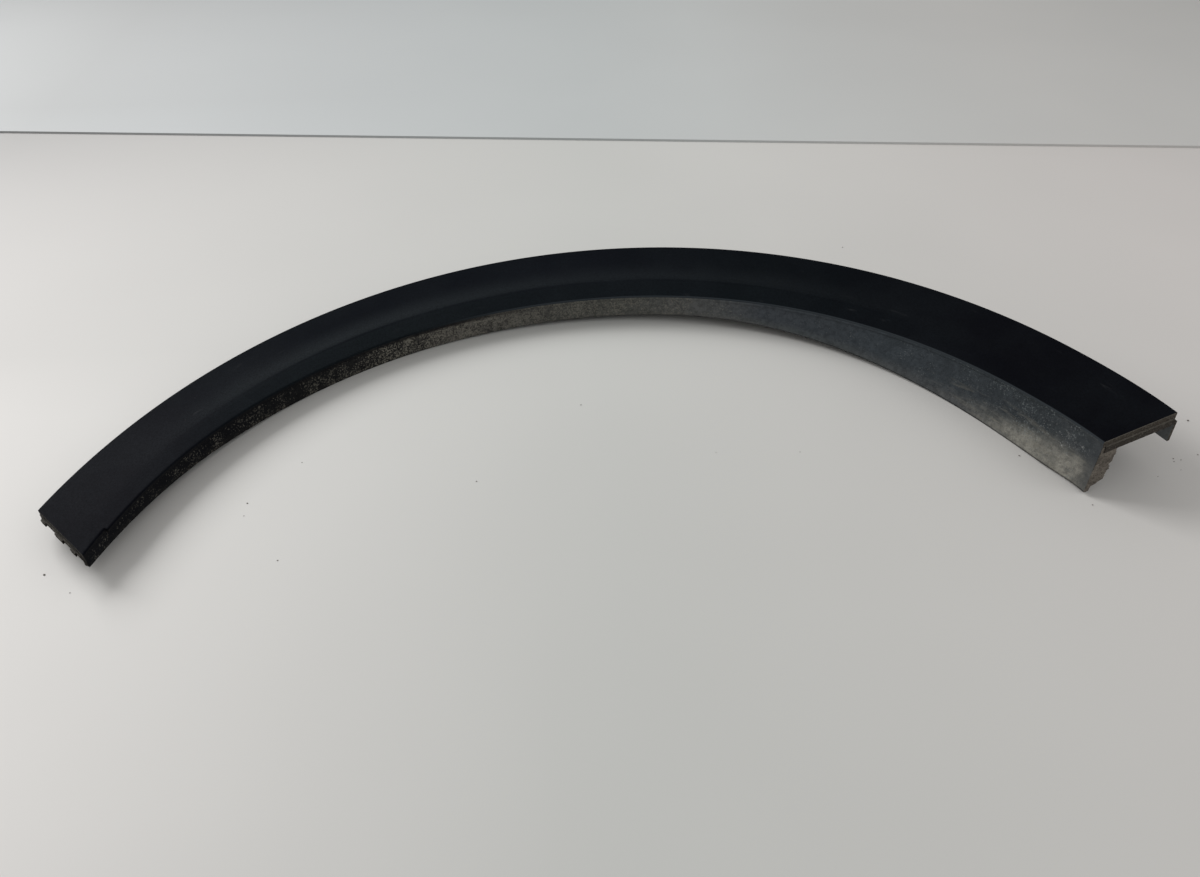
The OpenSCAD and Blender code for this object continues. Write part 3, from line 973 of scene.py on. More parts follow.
@dataclass(frozen=True)
class DirtyWall:
    """The flanges: ungrained plastic, blue-grey where it is clean, under road dirt.

    The colours come first, then each mask along the arch or down the inner flange, then the
    noises.
    """

    black: Colour = (0.0050, 0.0052, 0.0066)
    high: Stops = (
        (0.0, (0.0045, 0.0050, 0.0068)), (0.13, (0.0045, 0.0050, 0.0066)),
        (0.22, (0.0110, 0.0115, 0.0118)),
        (0.30, (0.022, 0.022, 0.022)), (0.36, (0.108, 0.101, 0.091)),
        (0.46, (0.080, 0.080, 0.073)), (0.52, (0.088, 0.089, 0.081)),
        (0.60, (0.104, 0.107, 0.107)),
        (0.66, (0.062, 0.070, 0.080)), (0.78, (0.049, 0.058, 0.067)),
        (0.93, (0.034, 0.040, 0.044)), (1.0, (0.058, 0.062, 0.065)))
    low: Stops = (
        (0.0, (0.0110, 0.0106, 0.0100)), (0.22, (0.0160, 0.0155, 0.0140)),
        (0.30, (0.026, 0.026, 0.024)), (0.36, (0.114, 0.107, 0.096)),
        (0.46, (0.082, 0.083, 0.075)), (0.52, (0.090, 0.091, 0.083)),
        (0.62, (0.106, 0.108, 0.105)),
        (0.70, (0.080, 0.089, 0.092)), (0.86, (0.088, 0.091, 0.092)),
        (0.925, (0.240, 0.233, 0.205)), (1.0, (0.275, 0.262, 0.228)))
    patch: Colour = (0.022, 0.027, 0.031)
    plain: Colour = (0.017, 0.019, 0.022)
    near_end: Colour = (0.036, 0.040, 0.044)
    crust: Colour = (0.190, 0.180, 0.152)
    chalk: Colour = (0.165, 0.180, 0.182)
    white: Colour = (0.40, 0.40, 0.39)
    dust: tuple[Pair, ...] = ((0.0, 0.44), (0.2, 0.46), (0.30, 0.72), (0.5, 0.66), (0.60, 0.50),
                              (0.68, 0.20), (0.82, 0.30), (0.92, 0.42), (1.0, 0.34))
    mottling: tuple[Pair, ...] = ((0.0, 0.8), (0.26, 0.9), (0.32, 1.0), (0.40, 0.75),
                                  (0.46, 0.5), (0.64, 0.35), (1.0, 0.40))
    fleck_strength: tuple[Pair, ...] = ((0.0, 0.5), (0.25, 0.55), (0.29, 0.9), (0.35, 0.75),
                                        (0.42, 0.5), (0.6, 0.5))
    roughness_of_crust: tuple[Pair, ...] = ((0.0, 1.0), (0.3, 1.0), (0.5, 0.6), (0.66, 0.15),
                                            (0.86, 0.3), (1.0, 0.35))
    low_starts: Span = (0.84, 0.98, 0.54, 0.24)
    low_spreads: Span = (0.0, 0.50)
    mottled: Span = (0.44, 0.60)
    chalky: Span = (0.60, 0.72)
    patched: Span = (0.42, 0.62)
    patches_along: Span = (0.66, 0.80, 0.0, 0.42)
    streaked: Span = (0.50, 0.66)
    streaks_along: Span = (0.82, 0.90, 0.0, 0.5)
    streaks_down: Span = (0.25, 0.5)
    spots_start: Span = (0.12, 0.35)
    spots_stop: Span = (0.55, 0.8, 1.0, 0.0)
    spots_along: Span = (0.86, 0.93)
    ending: Span = (0.973, 0.987, 0.0, 0.7)
    hem: Span = (0.955, 0.985, 0.0, 0.8)
    shade_down: Span = (0.02, 0.16, 1.0, 0.0)
    shade_along: Span = (0.36, 0.46, 0.9, 0.0)
    outer_flange: Span = (0.40, 0.30, 0.0, 0.85)
    wavering: Span = (40.0, 4.0)
    mottles: Span = (200.0, 7.0, 0.8)
    patches: Span = (60.0, 5.0, 0.65)
    streaks: Span = (1.0, 5.0, 0.65)
    drawn_out: tuple[float, float, float] = (30.0, 210.0, 210.0)
    waver: float = 0.30
    end_waver: float = 0.03
    fine_dust: float = 620.0
    coarse_dust: Pair = (0.6, 260.0)
    spot_strength: float = 0.45
    mud: float = 420.0
    smooth: Colour = (0.05, 0.05, 0.05)
    roughness: float = 0.85
    specular: float = 0.10
    relief: Pair = (0.9, 0.0013)

    def build(self, effects: Effects) -> bpy.types.Material:
        """Builds the material."""
        material, g, shader = start_material("dirty_flange_plastic")
        vector, part, across, down, _ = strip_place(g)
        place = g.here()
        waver = g.times(g.minus(g.noise(place, *self.wavering), 0.5), self.waver)
        start = g.scale(part, *self.low_starts)
        sunk = g.scale(g.minus(g.plus(down, waver), start), *self.low_spreads, soft=True)
        base = g.blend(sunk, ramp(g, part, self.high), ramp(g, part, self.low))
        amount = grey_ramp(g, part, self.dust)
        fine = effects.place(g, Group.DUST, Vector=place, Amount=amount, Scale=self.fine_dust)
        coarse = effects.place(g, Group.DUST, Vector=place, Scale=self.coarse_dust[1],
                               Amount=g.times(amount, self.coarse_dust[0]))
        mud = effects.place(g, Group.CRUST, Vector=place, Scale=self.mud)
        mottles = g.times(g.scale(g.noise(place, *self.mottles), *self.mottled),
                          grey_ramp(g, part, self.mottling))
        mottled = g.blend(mottles, base, self.black)
        patches = g.times(g.scale(g.noise(place, *self.patches), *self.patched),
                          g.scale(part, *self.patches_along))
        patched = g.blend(patches, mottled, self.patch)
        drawn = g.noise(g.stretch(vector, self.drawn_out), *self.streaks)
        streaks = g.times(g.scale(drawn, *self.streaked),
                          g.times(g.scale(part, *self.streaks_along),
                                  g.scale(down, *self.streaks_down)))
        streaked = g.blend(streaks, patched, self.crust)
        speck = g.blend(g.scale(part, *self.chalky), self.crust, self.chalk)
        flecked = g.blend(g.times(fine["Flecks"], grey_ramp(g, part, self.fleck_strength)),
                          streaked, speck)
        middle = g.times(g.scale(down, *self.spots_start), g.scale(down, *self.spots_stop))
        spots = g.times(coarse["Flecks"], g.times(middle, g.scale(part, *self.spots_along)))
        spotted = g.blend(g.times(spots, self.spot_strength), flecked, self.white)
        ending = g.scale(g.plus(part, g.times(waver, self.end_waver)), *self.ending,
                         soft=True)
        ended = g.blend(ending, spotted, self.near_end)
        shade = g.times(g.scale(down, *self.shade_down), g.scale(part, *self.shade_along))
        inner = g.blend(g.math("MAXIMUM", g.scale(down, *self.hem), shade), ended, self.black)
        outer = g.scale(across, *self.outer_flange)
        rough = grey_ramp(g, part, self.roughness_of_crust)
        height = g.times(mud["Height"], g.blend(outer, rough, self.smooth))
        dress_shader(g, shader, g.blend(outer, inner, self.plain), self.roughness,
                     self.specular, (*self.relief, height))
        return material


@dataclass(frozen=True)
class DustyUnderside:
    """The inside of the moulding: plain plastic with a dry film of dust."""

    plastic: Colour = (0.034, 0.036, 0.040)
    film: Colour = (0.105, 0.097, 0.084)
    paler: Colour = (0.150, 0.165, 0.172)
    paler_along: Span = (0.93, 0.98)
    dust: Pair = (0.45, 340.0)
    film_strength: float = 0.35
    fleck_strength: float = 0.6
    roughness: float = 0.7
    specular: float = 0.3
    relief: Pair = (0.35, 0.0004)

    def build(self, effects: Effects) -> bpy.types.Material:
        """Builds the material."""
        material, g, shader = start_material("dusty_underside_plastic")
        _, part, _, _, _ = strip_place(g)
        dust = effects.place(g, Group.DUST, Vector=g.here(), Amount=self.dust[0],
                             Scale=self.dust[1])
        plastic = g.blend(g.scale(part, *self.paler_along), self.plastic, self.paler)
        film = g.blend(g.times(dust["Film"], self.film_strength), plastic, self.film)
        flecked = g.blend(g.times(dust["Flecks"], self.fleck_strength), film, self.film)
        dress_shader(g, shader, flecked, self.roughness, self.specular,
                     (*self.relief, dust["Film"]))
        return material


@dataclass(frozen=True)
class CakedEnd:
    """The cut ends, with brown-beige road dirt dried on them in two layers.

    The layers, the painted highlights along the face's edge and the ledge's top, and the lumps
    are told apart by their depth under the face, in millimetres: the lumps keep a depth of
    their own.
    """

    mud: Colour = (0.070, 0.060, 0.048)
    deep: Colour = (0.042, 0.036, 0.030)
    dark: Colour = (0.016, 0.014, 0.012)
    left: Colour = (0.015, 0.015, 0.014)
    cake: Colour = (0.210, 0.185, 0.158)
    # A painted highlight along the face's edge and the ledge's top.
    edge_highlight: Colour = (0.200, 0.185, 0.160)
    pale: Colour = (0.27, 0.25, 0.22)
    right_end: Span = (0.2, 0.6)
    layer_top: Span = (5.7, 6.1)
    layer_foot: Span = (13.0, 16.0, 1.0, 0.0)
    cake_from: Span = (30.0, 31.0)
    clodded: Span = (0.40, 0.60, 0.0, 0.6)
    crumbed: Span = (0.0, 0.5, 0.35, 1.0)
    # Where the painted highlights lie under the face, and how strongly they show from left to
    # right.
    face_edge_highlight: Span = (0.5, 0.9, 1.0, 0.0)
    ledge_highlight_top: Span = (5.3, 5.5)
    ledge_highlight_foot: Span = (5.62, 5.8, 1.0, 0.0)
    highlights_show: Span = (0.0, 1.0, 0.25, 0.55)
    clods: Span = (150.0, 4.0, 0.65)
    crust: float = 520.0
    dust: Pair = (0.5, 620.0)
    fleck_strength: float = 0.3
    roughness: float = 0.92
    specular: float = 0.15
    relief: Pair = (1.0, 0.0014)

    def build(self, effects: Effects) -> bpy.types.Material:
        """Builds the material."""
        material, g, shader = start_material("caked_road_dirt")
        _, part, _, _, under = strip_place(g)
        place = g.here()
        mud = effects.place(g, Group.CRUST, Vector=place, Scale=self.crust)
        dust = effects.place(g, Group.DUST, Vector=place, Amount=self.dust[0],
                             Scale=self.dust[1])
        right = g.scale(part, *self.right_end)
        layer = g.times(g.scale(under, *self.layer_top), g.scale(under, *self.layer_foot))
        layers = g.blend(layer, g.blend(right, self.left, self.mud),
                         g.blend(right, self.dark, self.deep))
        base = g.blend(g.times(right, g.scale(under, *self.cake_from)), layers, self.cake)
        clods = g.blend(g.scale(g.noise(place, *self.clods), *self.clodded), base, self.deep)
        crumbed = g.blend(g.scale(mud["Crumbs"], *self.crumbed), self.dark, clods)
        flecks = g.times(dust["Flecks"], self.fleck_strength)
        flecked = g.blend(flecks, crumbed, self.pale)
        # Painted highlights along the face's edge and the ledge's top.
        edge_highlight = g.math("MAXIMUM", g.scale(under, *self.face_edge_highlight), g.times(
            g.scale(under, *self.ledge_highlight_top), g.scale(under, *self.ledge_highlight_foot)))
        highlighted = g.blend(g.times(edge_highlight, g.scale(right, *self.highlights_show)), flecked, self.edge_highlight)
        dress_shader(g, shader, highlighted, self.roughness, self.specular,
                     (*self.relief, mud["Height"]))
        return material


@dataclass
class Moulding:
    """The skin of the trim: face, lip, both flanges and the rims of its ends."""

    form: ArchForm
    station: float = 0.6
    name: str = "arch_skin"
    strip: bpy.types.Object = field(init=False)

    def stations(self) -> list[Pair]:
        """Every section along the arch, as its angle and its rim's depth."""
        f = self.form
        left, right = f.end(Side.LEFT), f.end(Side.RIGHT)
        left_rim = left + f.degrees(f.rim_t / math.cos(math.radians(f.left_cut)))
        right_rim = right - f.degrees(f.rim_t / math.cos(math.radians(f.right_cut)))
        step_at = left + f.degrees(f.relief_run)
        runs = [(left, f.rim_left), (left_rim, f.rim_left)]
        for low, high in ((left_rim + f.jog, step_at - f.jog),
                          (step_at + f.jog, right_rim - f.jog)):
            count = math.ceil((high - low) / self.station)
            runs += [(mix(low, high, i / count), 0.0) for i in range(count + 1)]
        return runs + [(right_rim, f.rim_right), (right, f.rim_right)]

    def draw(self) -> None:
        """Draws the skin as a straight strip with closed ends."""
        form, strip = self.form, Strip(self.form)
        bm, rings, zones = strip.bm, [], []
        for angle, rim in self.stations():
            points = form.section(angle, rim)
            zones = [zone for _, _, zone in points]
            wall_top = form.drop(angle) + form.lip_h
            wall_run = form.inner_depth(angle) - wall_top
            ring = []
            for u, z, _ in points:
                under = form.face_z(angle, min(max(u, 0.0), form.width(angle))) - z
                ring.append(strip.point(angle, angle, (u, z), (-z - wall_top) / wall_run, under))
            rings.append(ring)
        count = len(zones)
        for near, far in zip(rings, rings[1:]):
            for k, zone in enumerate(zones):
                nxt = (k + 1) % count
                face = bm.faces.new((near[k], far[k], far[nxt], near[nxt]))
                face.material_index = int(zone)
        caps = [bm.faces.new(rings[0]), bm.faces.new(rings[-1])]
        for cap in caps:
            cap.material_index = int(Zone.END)
        bm.normal_update()
        bmesh.ops.triangulate(bm, faces=caps, ngon_method="EAR_CLIP")
        self.strip = closed_piece(self.name, bm)

    def places(self) -> list[Vector]:
        """Every point of the strip about the wheel's centre."""
        return [self.form.plan(*v.co) for v in self.strip.data.vertices]

    def dress(self, tools: ArchTools, rest: Rest,
              finishes: list[bpy.types.Material]) -> bpy.types.Object:
        """Gives each zone its finish, bends the strip and lays it down."""
        for finish in finishes:
            self.strip.data.materials.append(finish)
        grow(self.strip, tools.skin_tree, {}, rest)
        return self.strip


@dataclass
class CrossRibs:
    """The ribs between the two flanges, under the face."""

    form: ArchForm
    pitch: float = 10.0
    thickness: float = 1.8
    height: float = 6.0
    a_side: int = 6
    name: str = "cross_ribs"

    def build(self, tools: ArchTools, skin: bpy.types.Object, rest: Rest,
              finish: bpy.types.Material) -> bpy.types.Object:
        """Sets a rib at each pitch, fits it under the skin and lays it down."""
        piece = row_of_points(self.name, self.pitch / 2, self.pitch, self.a_side)
        reach = piece.data.attributes.new("reach", "FLOAT", "POINT")
        for item, vert in zip(reach.data, piece.data.vertices):
            item.value = self.form.flange_in(vert.co.x) - self.form.flange_t / 2
        grow(piece, tools.ribs_tree(), {
            "Skin": skin, "Thickness": self.form.degrees(self.thickness),
            "Height": self.height, "Material": finish}, rest)
        return piece


@dataclass
class ClipSeats:
    """The seats under the face, each with a round hole for a clip."""

    form: ArchForm
    first: float = 20.0
    pitch: float = 20.0
    a_side: int = 3
    inward: float = 33.0
    depth: float = 17.0
    length: float = 26.0
    width: float = 24.0
    wall: float = 2.2
    wall_height: float = 5.0
    wall_steps: int = 5
    hole: float = 8.0
    hole_sides: int = 40
    name: str = "clip_seats"

    def _wall(self, bm: bmesh.types.BMesh, roof: object, low: Vector, high: Vector) -> None:
        """One wall of the seat, whose top is fitted to the face later."""
        rows = []
        for i in range(self.wall_steps + 1):
            y = mix(low.y, high.y, i / self.wall_steps)
            ring = []
            for x, z in ((low.x, low.z), (high.x, low.z), (high.x, high.z), (low.x, high.z)):
                vert = bm.verts.new((x, y, z))
                vert[roof] = 1.0 if z == high.z else 0.0
                ring.append(vert)
            rows.append(ring)
        bar(bm, rows)

    def _plate(self, bm: bmesh.types.BMesh, to_angle: float) -> None:
        """The seat's plate with its round hole."""
        half_l, half_w = self.length / 2, self.width / 2
        turns = {2 * math.pi * i / self.hole_sides for i in range(self.hole_sides)}
        lean = math.atan2(half_w, half_l)
        turns |= {lean, math.pi - lean, math.pi + lean, 2 * math.pi - lean}
        loops = []
        for z in (-self.depth, self.wall - self.depth):
            inner, outer = [], []
            for t in sorted(turns):
                c, s = math.cos(t), math.sin(t)
                far = min(half_l / max(abs(c), TINY), half_w / max(abs(s), TINY))
                for ring, r in ((inner, self.hole / 2), (outer, far)):
                    ring.append(bm.verts.new((c * r * to_angle, self.inward + s * r, z)))
            loops.append((inner, outer))
        (low_in, low_out), (top_in, top_out) = loops
        count = len(low_in)
        for k in range(count):
            n = (k + 1) % count
            bm.faces.new((low_in[k], low_in[n], low_out[n], low_out[k]))
            bm.faces.new((top_in[n], top_in[k], top_out[k], top_out[n]))
            bm.faces.new((low_in[n], low_in[k], top_in[k], top_in[n]))
            bm.faces.new((low_out[k], low_out[n], top_out[n], top_out[k]))

    def prototype(self) -> bpy.types.Object:
        """One seat at the crown, drawn on the strip."""
        to_angle = math.degrees(1.0 / (self.form.radius - self.inward))
        half = self.length / 2 * to_angle
        wall = self.wall * to_angle
        near, far = self.inward - self.width / 2, self.inward + self.width / 2
        bm = bmesh.new()
        roof = bm.verts.layers.float.new("roof")
        low, high = -self.depth, self.wall_height - self.depth
        for x in (-half, half - wall):
            self._wall(bm, roof, Vector((x, near, low)), Vector((x + wall, far, high)))
        self._wall(bm, roof, Vector((-half, near, low)), Vector((half, near + self.wall, high)))
        self._plate(bm, to_angle)
        return closed_piece("clip_seat", bm)

    def build(self, tools: ArchTools, skin: bpy.types.Object, rest: Rest,
              finish: bpy.types.Material) -> bpy.types.Object:
        """Sets a seat at each pitch on both sides and lays them down."""
        piece = row_of_points(self.name, self.first, self.pitch, self.a_side)
        one = self.prototype()
        grow(piece, tools.seats_tree(), {"Skin": skin, "Seat": one, "Material": finish}, rest)
        bpy.data.objects.remove(one)
        return piece


@dataclass
class EndLedges:
    """The ledges that stand out of the two rims, and the tabs on the left one."""

    form: ArchForm
    out: float = 1.3
    drop: float = 5.6
    short: float = 0.6
    tabs: tuple[Pair, ...] = ((3.5, 9.5), (24.0, 35.0), (46.0, 52.5))
    tab_out: float = 1.5
    steps: int = 24
    name: str = "end_ledges"

    def _bar(self, strip: Strip, side: Side, out: float, inward: Pair, depth: Pair) -> None:
        """A bar under the face that stands out of an end.

        Args:
            strip: The shape it goes into.
            side: The end it stands out of.
            out: How far it stands out.
            inward: Where it starts and ends across the arch.
            depth: Its top and its foot under the face.
        """
        f, end = self.form, self.form.end(side)
        cut = math.cos(math.radians(f.slant(end)))
        far = end + side.value * f.degrees(out / cut)
        near = end - side.value * f.degrees(f.rim_t / 2 / cut)
        rings = []
        for i in range(self.steps + 1):
            u = mix(*inward, i / self.steps)
            top = f.face_z(end, u)
            rings.append([strip.point(angle, end, (u, top - under), 0.0, under)
                          for angle, under in ((near, depth[0]), (far, depth[0]),
                                               (far, depth[1]), (near, depth[1]))])
        bar(strip.bm, rings)

    def build(self, tools: ArchTools, rest: Rest,
              finish: bpy.types.Material) -> bpy.types.Object:
        """Draws the ledges and tabs, bends them with the arch and lays them down."""
        f, strip = self.form, Strip(self.form)
        for side, rim in ((Side.LEFT, f.rim_left), (Side.RIGHT, f.rim_right)):
            end = f.end(side)
            last = f.flange_in(end) - f.set_back(end) - f.flange_t
            depth = (self.drop, rim - self.short)
            self._bar(strip, side, self.out, (f.flange_t, last), depth)
            for tab in self.tabs if side is Side.LEFT else ():
                self._bar(strip, side, self.out + self.tab_out, tab, depth)
        piece = closed_piece(self.name, strip.bm)
        grow(piece, tools.strip_tree, {"Material": finish}, rest)
        return piece


@dataclass(frozen=True)
class Cake:
    """One lump of dried dirt on an end wall: where it lies and how thick it is."""

    side: Side
    width: Pair
    top: float
    foot: float
    thick: float
    back: float
    ragged: float
    seed: float
    name: str


@dataclass
class CakedDirt:
    """Dried road dirt on the end walls beside the inner flange, with a ragged inner edge."""

    form: ArchForm
    rows: int = 84
    columns: int = 24
    deep: float = 40.0
    sunk: float = 0.5
    closing: float = 0.14
    narrowest: float = 0.06
    jags: Pair = (9.0, 31.0)
    fine_jags: float = 0.6
    lump_scale: float = 0.22
    lump_level: float = 0.55
    lump_fractal: tuple[float, float, int] = (0.9, 2.1, 4)
    lump_range: Pair = (0.1, 1.3)
    rim_rise: float = 6.0
    rim_least: float = 0.15
    lumps: tuple[Cake, ...] = (
        Cake(Side.RIGHT, (18.0, 15.0), 12.0, 55.5, 1.2, 2.0, 2.2, 4.0, "right_end_dirt"),
        Cake(Side.LEFT, (12.0, 8.0), 6.4, 14.7, 1.4, 1.6, 1.6, 9.0, "left_end_dirt"))

    def _flange(self, angle: float, z: float) -> float:
        """Where the inner flange's outer face is at a height."""
        f = self.form
        under = -z - f.drop(angle) - f.lip_h
        return f.flange_in(angle) + max(0.0, under) * math.tan(math.radians(f.lean))

    def _inner_edge(self, cake: Cake, down: float) -> float:
        """How far the lump reaches from the flange, at a share of the way down it."""
        coarse, fine = (noise.noise(Vector((down * scale, cake.seed, shift)))
                        for scale, shift in zip(self.jags, (0.0, 5.0)))
        jag = coarse + self.fine_jags * fine
        closed = min(1.0, max(self.narrowest, (1 - down) / self.closing))
        return (mix(*cake.width, down) + cake.ragged * jag) * closed

    def _thickness(self, cake: Cake, u: float, z: float, down: float, across: float) -> float:
        """How far the lump stands out at a place, less towards its edges."""
        spot = Vector((u * self.lump_scale, z * self.lump_scale, cake.seed))
        lump = self.lump_level + noise.fractal(spot, *self.lump_fractal)
        edge = min(down, 1 - down, across, 1 - across)
        rim = min(1.0, self.rim_rise * edge + self.rim_least)
        low, high = self.lump_range
        return cake.thick * rim * min(high, max(low, lump))

    def build(self, cake: Cake, tools: ArchTools, rest: Rest,
              finish: bpy.types.Material) -> bpy.types.Object:
        """Draws one lump as a closed relief, bends it with the arch and lays it down."""
        f, strip, sign = self.form, Strip(self.form), cake.side.value
        end = f.end(cake.side)
        per_mm = f.degrees(1.0 / math.cos(math.radians(f.slant(end))))
        front, back = [], []
        for i in range(self.rows + 1):
            v = i / self.rows
            z = -mix(cake.top, cake.foot, v)
            outer = self._flange(end, z) - self.sunk
            inner = outer - self._inner_edge(cake, v)
            for grid in (front, back):
                grid.append([])
            for j in range(self.columns + 1):
                w = j / self.columns
                u = mix(outer, inner, w)
                for grid, out in ((front, self._thickness(cake, u, z, v, w)),
                                  (back, -cake.back)):
                    angle = end + sign * out * per_mm
                    grid[-1].append(strip.point(angle, end, (u, z), 0.0, self.deep))
        faces = strip.bm.faces
        for i in range(self.rows):
            for j in range(self.columns):
                for grid in (front, back):
                    faces.new((grid[i][j], grid[i][j + 1], grid[i + 1][j + 1], grid[i + 1][j]))
            for j in (0, self.columns):
                faces.new((front[i][j], front[i + 1][j], back[i + 1][j], back[i][j]))
        for j in range(self.columns):
            for i in (0, self.rows):
                faces.new((front[i][j], front[i][j + 1], back[i][j + 1], back[i][j]))
        piece = closed_piece(cake.name, strip.bm)
        grow(piece, tools.strip_tree, {"Material": finish}, rest)
        return piece


@dataclass(frozen=True)
class Lamp:
    """One square soft light: where it stands, what it faces, its size and its power."""

    name: str
    spot: tuple[float, float, float]
    aim: tuple[float, float, float]
    size: float
    power: float


@dataclass
class Studio:
    """The pale table and the shelf behind it, the soft lights and the camera."""

    rest: Rest
    eye: tuple[float, float, float] = (-9.0, -435.0, 498.0)
    pitch: float = 40.07
    roll: float = 4.32
    focal_px: float = 950.0
    frame_px: tuple[int, int] = (1200, 877)
    sensor: float = 36.0
    near_clip: float = 0.01
    shelf_line: tuple[Pair, Pair] = ((0.0, 133.0), (1200.0, 148.0))
    step: float = 0.003
    aside: float = 4.0
    table_deep: float = 6.0
    shelf_deep: float = 4.0
    overlap: float = 0.01
    # Tones across the table and the shelf, brighter to the right: painted light.
    table: Stops = (
        (0.0, (0.56, 0.545, 0.53)), (0.5, (0.545, 0.55, 0.53)), (1.0, (0.63, 0.603, 0.584)))
    shelf: Stops = (
        (0.0, (0.455, 0.480, 0.490)), (0.5, (0.475, 0.50, 0.50)), (1.0, (0.57, 0.565, 0.55)))
    # Painted shade to the back and a painted pool of light to the front, both to the left.
    painted_shade_tone: Colour = (0.24, 0.236, 0.232)
    shade_strength: Pair = (1.0, 0.7)
    shade_back: Span = (0.0, 0.75)
    shade_left: Pair = (0.2, -0.8)
    light_pool_tone: Colour = (0.78, 0.76, 0.74)
    light_pool_front: Span = (0.1, -0.4)
    light_pool_left: Span = (-0.05, -0.6, 0.0, 0.9)
    deeper: Colour = (0.2, 0.2, 0.2)
    clouds: Span = (3.0, 2.0)
    cloudy: Span = (0.3, 0.7)
    cloud_strength: float = 0.05
    half_width: float = 0.7
    surface_gloss: Pair = (0.75, 0.3)
    crumb: Colour = (0.15, 0.135, 0.12)
    crumb_gloss: Pair = (0.9, 0.5)
    crumb_rough: Pair = (0.35, 1800.0)
    crumb_lift: float = 0.5
    crumb_shape: tuple[float, float, float] = (1.2, 1.0, 0.6)
    crumbs: tuple[tuple[float, float, float], ...] = (
        (1187.8, 420.8, 0.8), (1173.3, 458.8, 0.5), (1174.0, 461.7, 0.4), (1181.0, 460.0, 0.4),
        (1197.8, 455.0, 0.5), (1019.0, 455.8, 0.6), (1158.0, 476.7, 0.35), (1092.5, 505.0, 0.5),
        (1181.0, 470.0, 0.35), (247.4, 503.4, 0.55), (244.0, 516.0, 0.35), (277.6, 560.6, 0.5),
        (44.4, 575.0, 0.75), (70.0, 593.0, 0.4), (302.0, 462.6, 0.4), (581.0, 405.0, 0.5),
        (476.5, 481.5, 0.5), (842.5, 247.5, 0.55), (716.0, 452.5, 0.35), (800.0, 452.0, 0.35))
    sky: Colour = (1.0, 0.995, 0.985)
    sky_strength: float = 0.475
    lamps: tuple[Lamp, ...] = (
        Lamp("window_light", (-1.45, 0.9, 1.12), (0.0, 0.0, 0.0), 1.1, 37.0),
        Lamp("room_light", (1.3, -0.8, 1.1), (0.45, -0.2, 0.0), 1.2, 4.5))

    def camera(self) -> bpy.types.Object:
        """Sets the camera where the photograph was taken from."""
        tip, roll = math.radians(self.pitch), math.radians(self.roll)
        ahead = Vector((0, math.cos(tip), -math.sin(tip)))
        right = Vector((1, 0, 0))
        down = ahead.cross(right)
        turned_right = right * math.cos(roll) + down * math.sin(roll)
        turned_down = down * math.cos(roll) - right * math.sin(roll)
        axes = [self.rest.turn(v) for v in (turned_right, -turned_down, -ahead)]
        spot = self.rest.matrix() @ Vector(self.eye)
        data = bpy.data.cameras.new("camera")
        data.sensor_width = self.sensor
        data.lens = self.focal_px / self.frame_px[0] * self.sensor
        data.dof.use_dof = False
        data.clip_start = self.near_clip
        camera = bpy.data.objects.new("camera", data)
        rows = [[axes[c][r] for c in range(3)] + [spot[r]] for r in range(3)]
        camera.matrix_world = Matrix((*rows, (0, 0, 0, 1)))
        bpy.context.scene.collection.objects.link(camera)
        bpy.context.scene.camera = camera
        return camera

    def on_table(self, camera: bpy.types.Object, pixel: Pair) -> Vector:
        """The place on the table that a pixel of the photograph shows."""
        x = (pixel[0] - self.frame_px[0] / 2) / self.focal_px
        y = (pixel[1] - self.frame_px[1] / 2) / self.focal_px
        way = camera.matrix_world.to_3x3() @ Vector((x, -y, -1.0))
        eye = camera.matrix_world.translation
        return eye - way * (eye.z / way.z)

    def _pale(self, name: str, tones: Stops, shade_strength: float) -> bpy.types.Material:
        """The finish of a surface with painted light: tones across it, painted shade to the back
        and a painted pool of light to the front, both leftwards.
        """
        material, g, shader = start_material(name)
        place = g.here()
        x, y, _ = g.split(place)
        plain = ramp(g, g.scale(x, -self.half_width, self.half_width), tones)
        # Painted shade to the back and a painted pool of light to the front, towards the left.
        back = g.times(g.scale(y, *self.shade_back), g.scale(x, *self.shade_left, 0.0, shade_strength))
        front = g.times(g.scale(y, *self.light_pool_front), g.scale(x, *self.light_pool_left))
        tone = g.blend(front, g.blend(back, plain, self.painted_shade_tone), self.light_pool_tone)
        cloud = g.scale(g.noise(place, *self.clouds), *self.cloudy)
        clouded = g.blend(cloud, tone, g.blend(self.cloud_strength, tone, self.deeper))
        dress_shader(g, shader, clouded, *self.surface_gloss)
        return material

    def backdrop(self, camera: bpy.types.Object) -> None:
        """Builds the table top and the shelf behind it."""
        left, right = (self.on_table(camera, p) for p in self.shelf_line)
        along = (right - left).normalized()
        out = Vector((-along.y, along.x, 0))
        low = [left - along * self.aside, right + along * self.aside]
        high = [spot + Vector((0, 0, self.step)) for spot in low]
        for name, corners, faces, tones, shade_strength in (
                ("table_top", [spot - out * self.table_deep for spot in low]
                 + [spot + out * self.overlap for spot in reversed(low)],
                 [(0, 1, 2, 3)], self.table, self.shade_strength[0]),
                ("back_shelf", [*low, *reversed(high)]
                 + [spot + out * self.shelf_deep for spot in reversed(high)],
                 [(0, 1, 2, 3), (3, 2, 4, 5)], self.shelf, self.shade_strength[1])):
            mesh = bpy.data.meshes.new(name)
            mesh.from_pydata(corners, [], faces)
            mesh.materials.append(self._pale("pale_" + name, tones, shade_strength))
            piece = new_object(name, mesh)

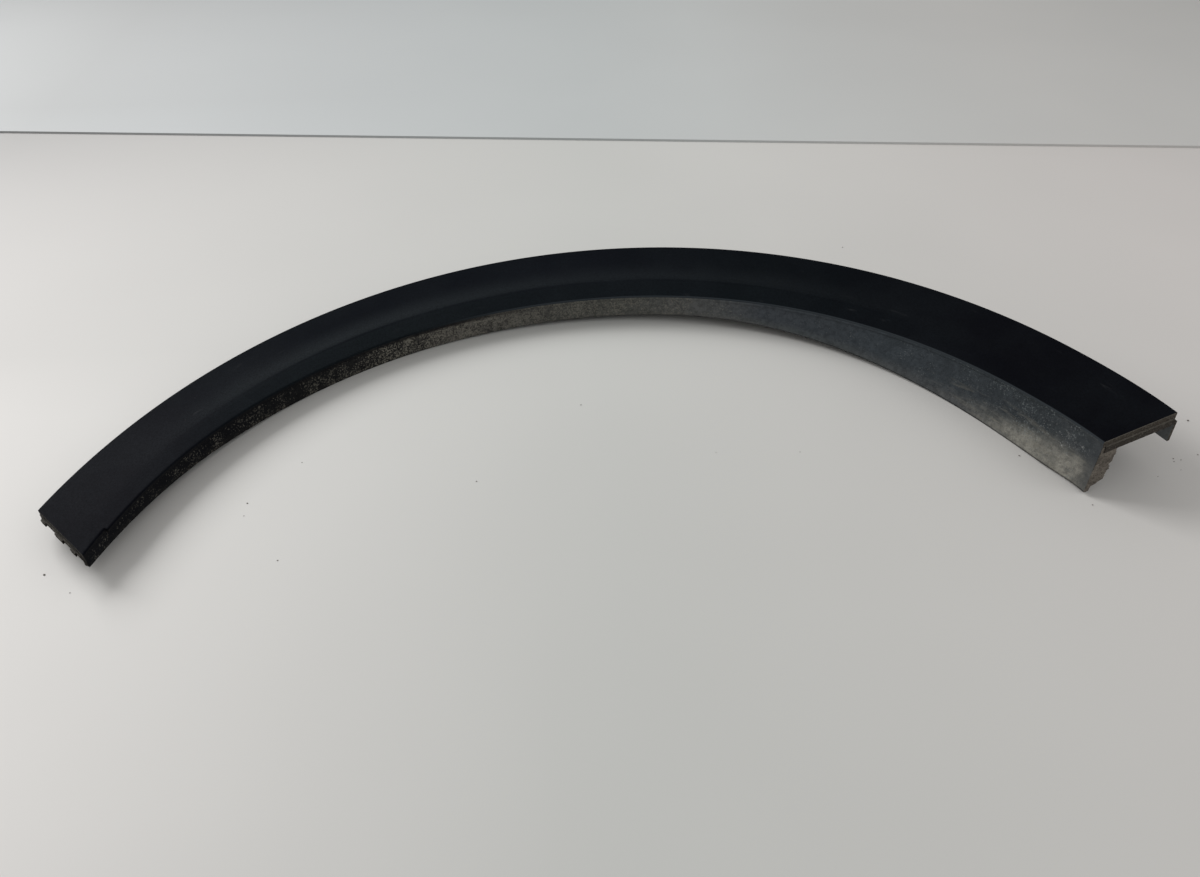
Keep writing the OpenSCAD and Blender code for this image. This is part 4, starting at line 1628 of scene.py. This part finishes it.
    def scatter(self, camera: bpy.types.Object) -> None:
        """Puts the few crumbs that lie on the table."""
        bm = bmesh.new()
        rise, scale = self.crumb_rough
        for x, y, size in self.crumbs:
            made = bmesh.ops.create_icosphere(bm, subdivisions=2, radius=size * MM)["verts"]
            spot = self.on_table(camera, (x, y)) + Vector((0, 0, self.crumb_lift * size * MM))
            for vert in made:
                rough = 1 + rise * noise.noise(vert.co * scale + Vector((x, y, 0.0)))
                vert.co = vert.co * Vector(self.crumb_shape) * rough + spot
        mesh = bpy.data.meshes.new("table_crumbs")
        bm.to_mesh(mesh)
        bm.free()
        material, g, shader = start_material("brown_crumbs")
        dress_shader(g, shader, (*self.crumb, 1.0), *self.crumb_gloss)
        mesh.materials.append(material)
        new_object("table_crumbs", mesh)

    def lights(self) -> None:
        """Sets soft light from the upper left and behind, over an even sky."""
        scene = bpy.context.scene
        world = bpy.data.worlds.new("even_light")
        world.use_nodes = True
        sky = world.node_tree.nodes["Background"]
        sky.inputs["Color"].default_value = (*self.sky, 1.0)
        sky.inputs["Strength"].default_value = self.sky_strength
        scene.world = world
        for lamp in self.lamps:
            data = bpy.data.lights.new(lamp.name, "AREA")
            data.shape = "SQUARE"
            data.size = lamp.size
            data.energy = lamp.power
            light = bpy.data.objects.new(lamp.name, data)
            light.location = lamp.spot
            way = Vector(lamp.aim) - Vector(lamp.spot)
            light.rotation_euler = way.to_track_quat("-Z", "Y").to_euler()
            scene.collection.objects.link(light)
        scene.view_settings.view_transform = "Standard"


def main() -> None:
    """Builds the studio and the trim in order and reports each piece."""
    logging.basicConfig(level=logging.INFO, format="%(name)s: %(message)s")
    form = ArchForm()
    tools, effects = ArchTools(form), Effects()
    moulding = Moulding(form)
    moulding.draw()
    rest = Rest.of(form, moulding.places())
    studio = Studio(rest)
    camera = studio.camera()
    studio.backdrop(camera)
    studio.scatter(camera)
    studio.lights()

    face, wall = GrainedFace().build(effects), DirtyWall().build(effects)
    under, caked = DustyUnderside().build(effects), CakedEnd().build(effects)
    ribs = CrossRibs(form).build(tools, moulding.strip, rest, under)
    seats = ClipSeats(form).build(tools, moulding.strip, rest, under)
    ledges = EndLedges(form).build(tools, rest, caked)
    skin = moulding.dress(tools, rest, [face, wall, under, caked])
    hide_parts("arch_moulding")
    dirt = CakedDirt(form)
    lumps = [dirt.build(cake, tools, rest, caked) for cake in dirt.lumps]
    for piece in (skin, ribs, seats, ledges, *lumps):
        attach(piece, "root")
        log.info("%s: %d faces", piece.name, len(piece.data.polygons))


if __name__ == "__main__":
    main()
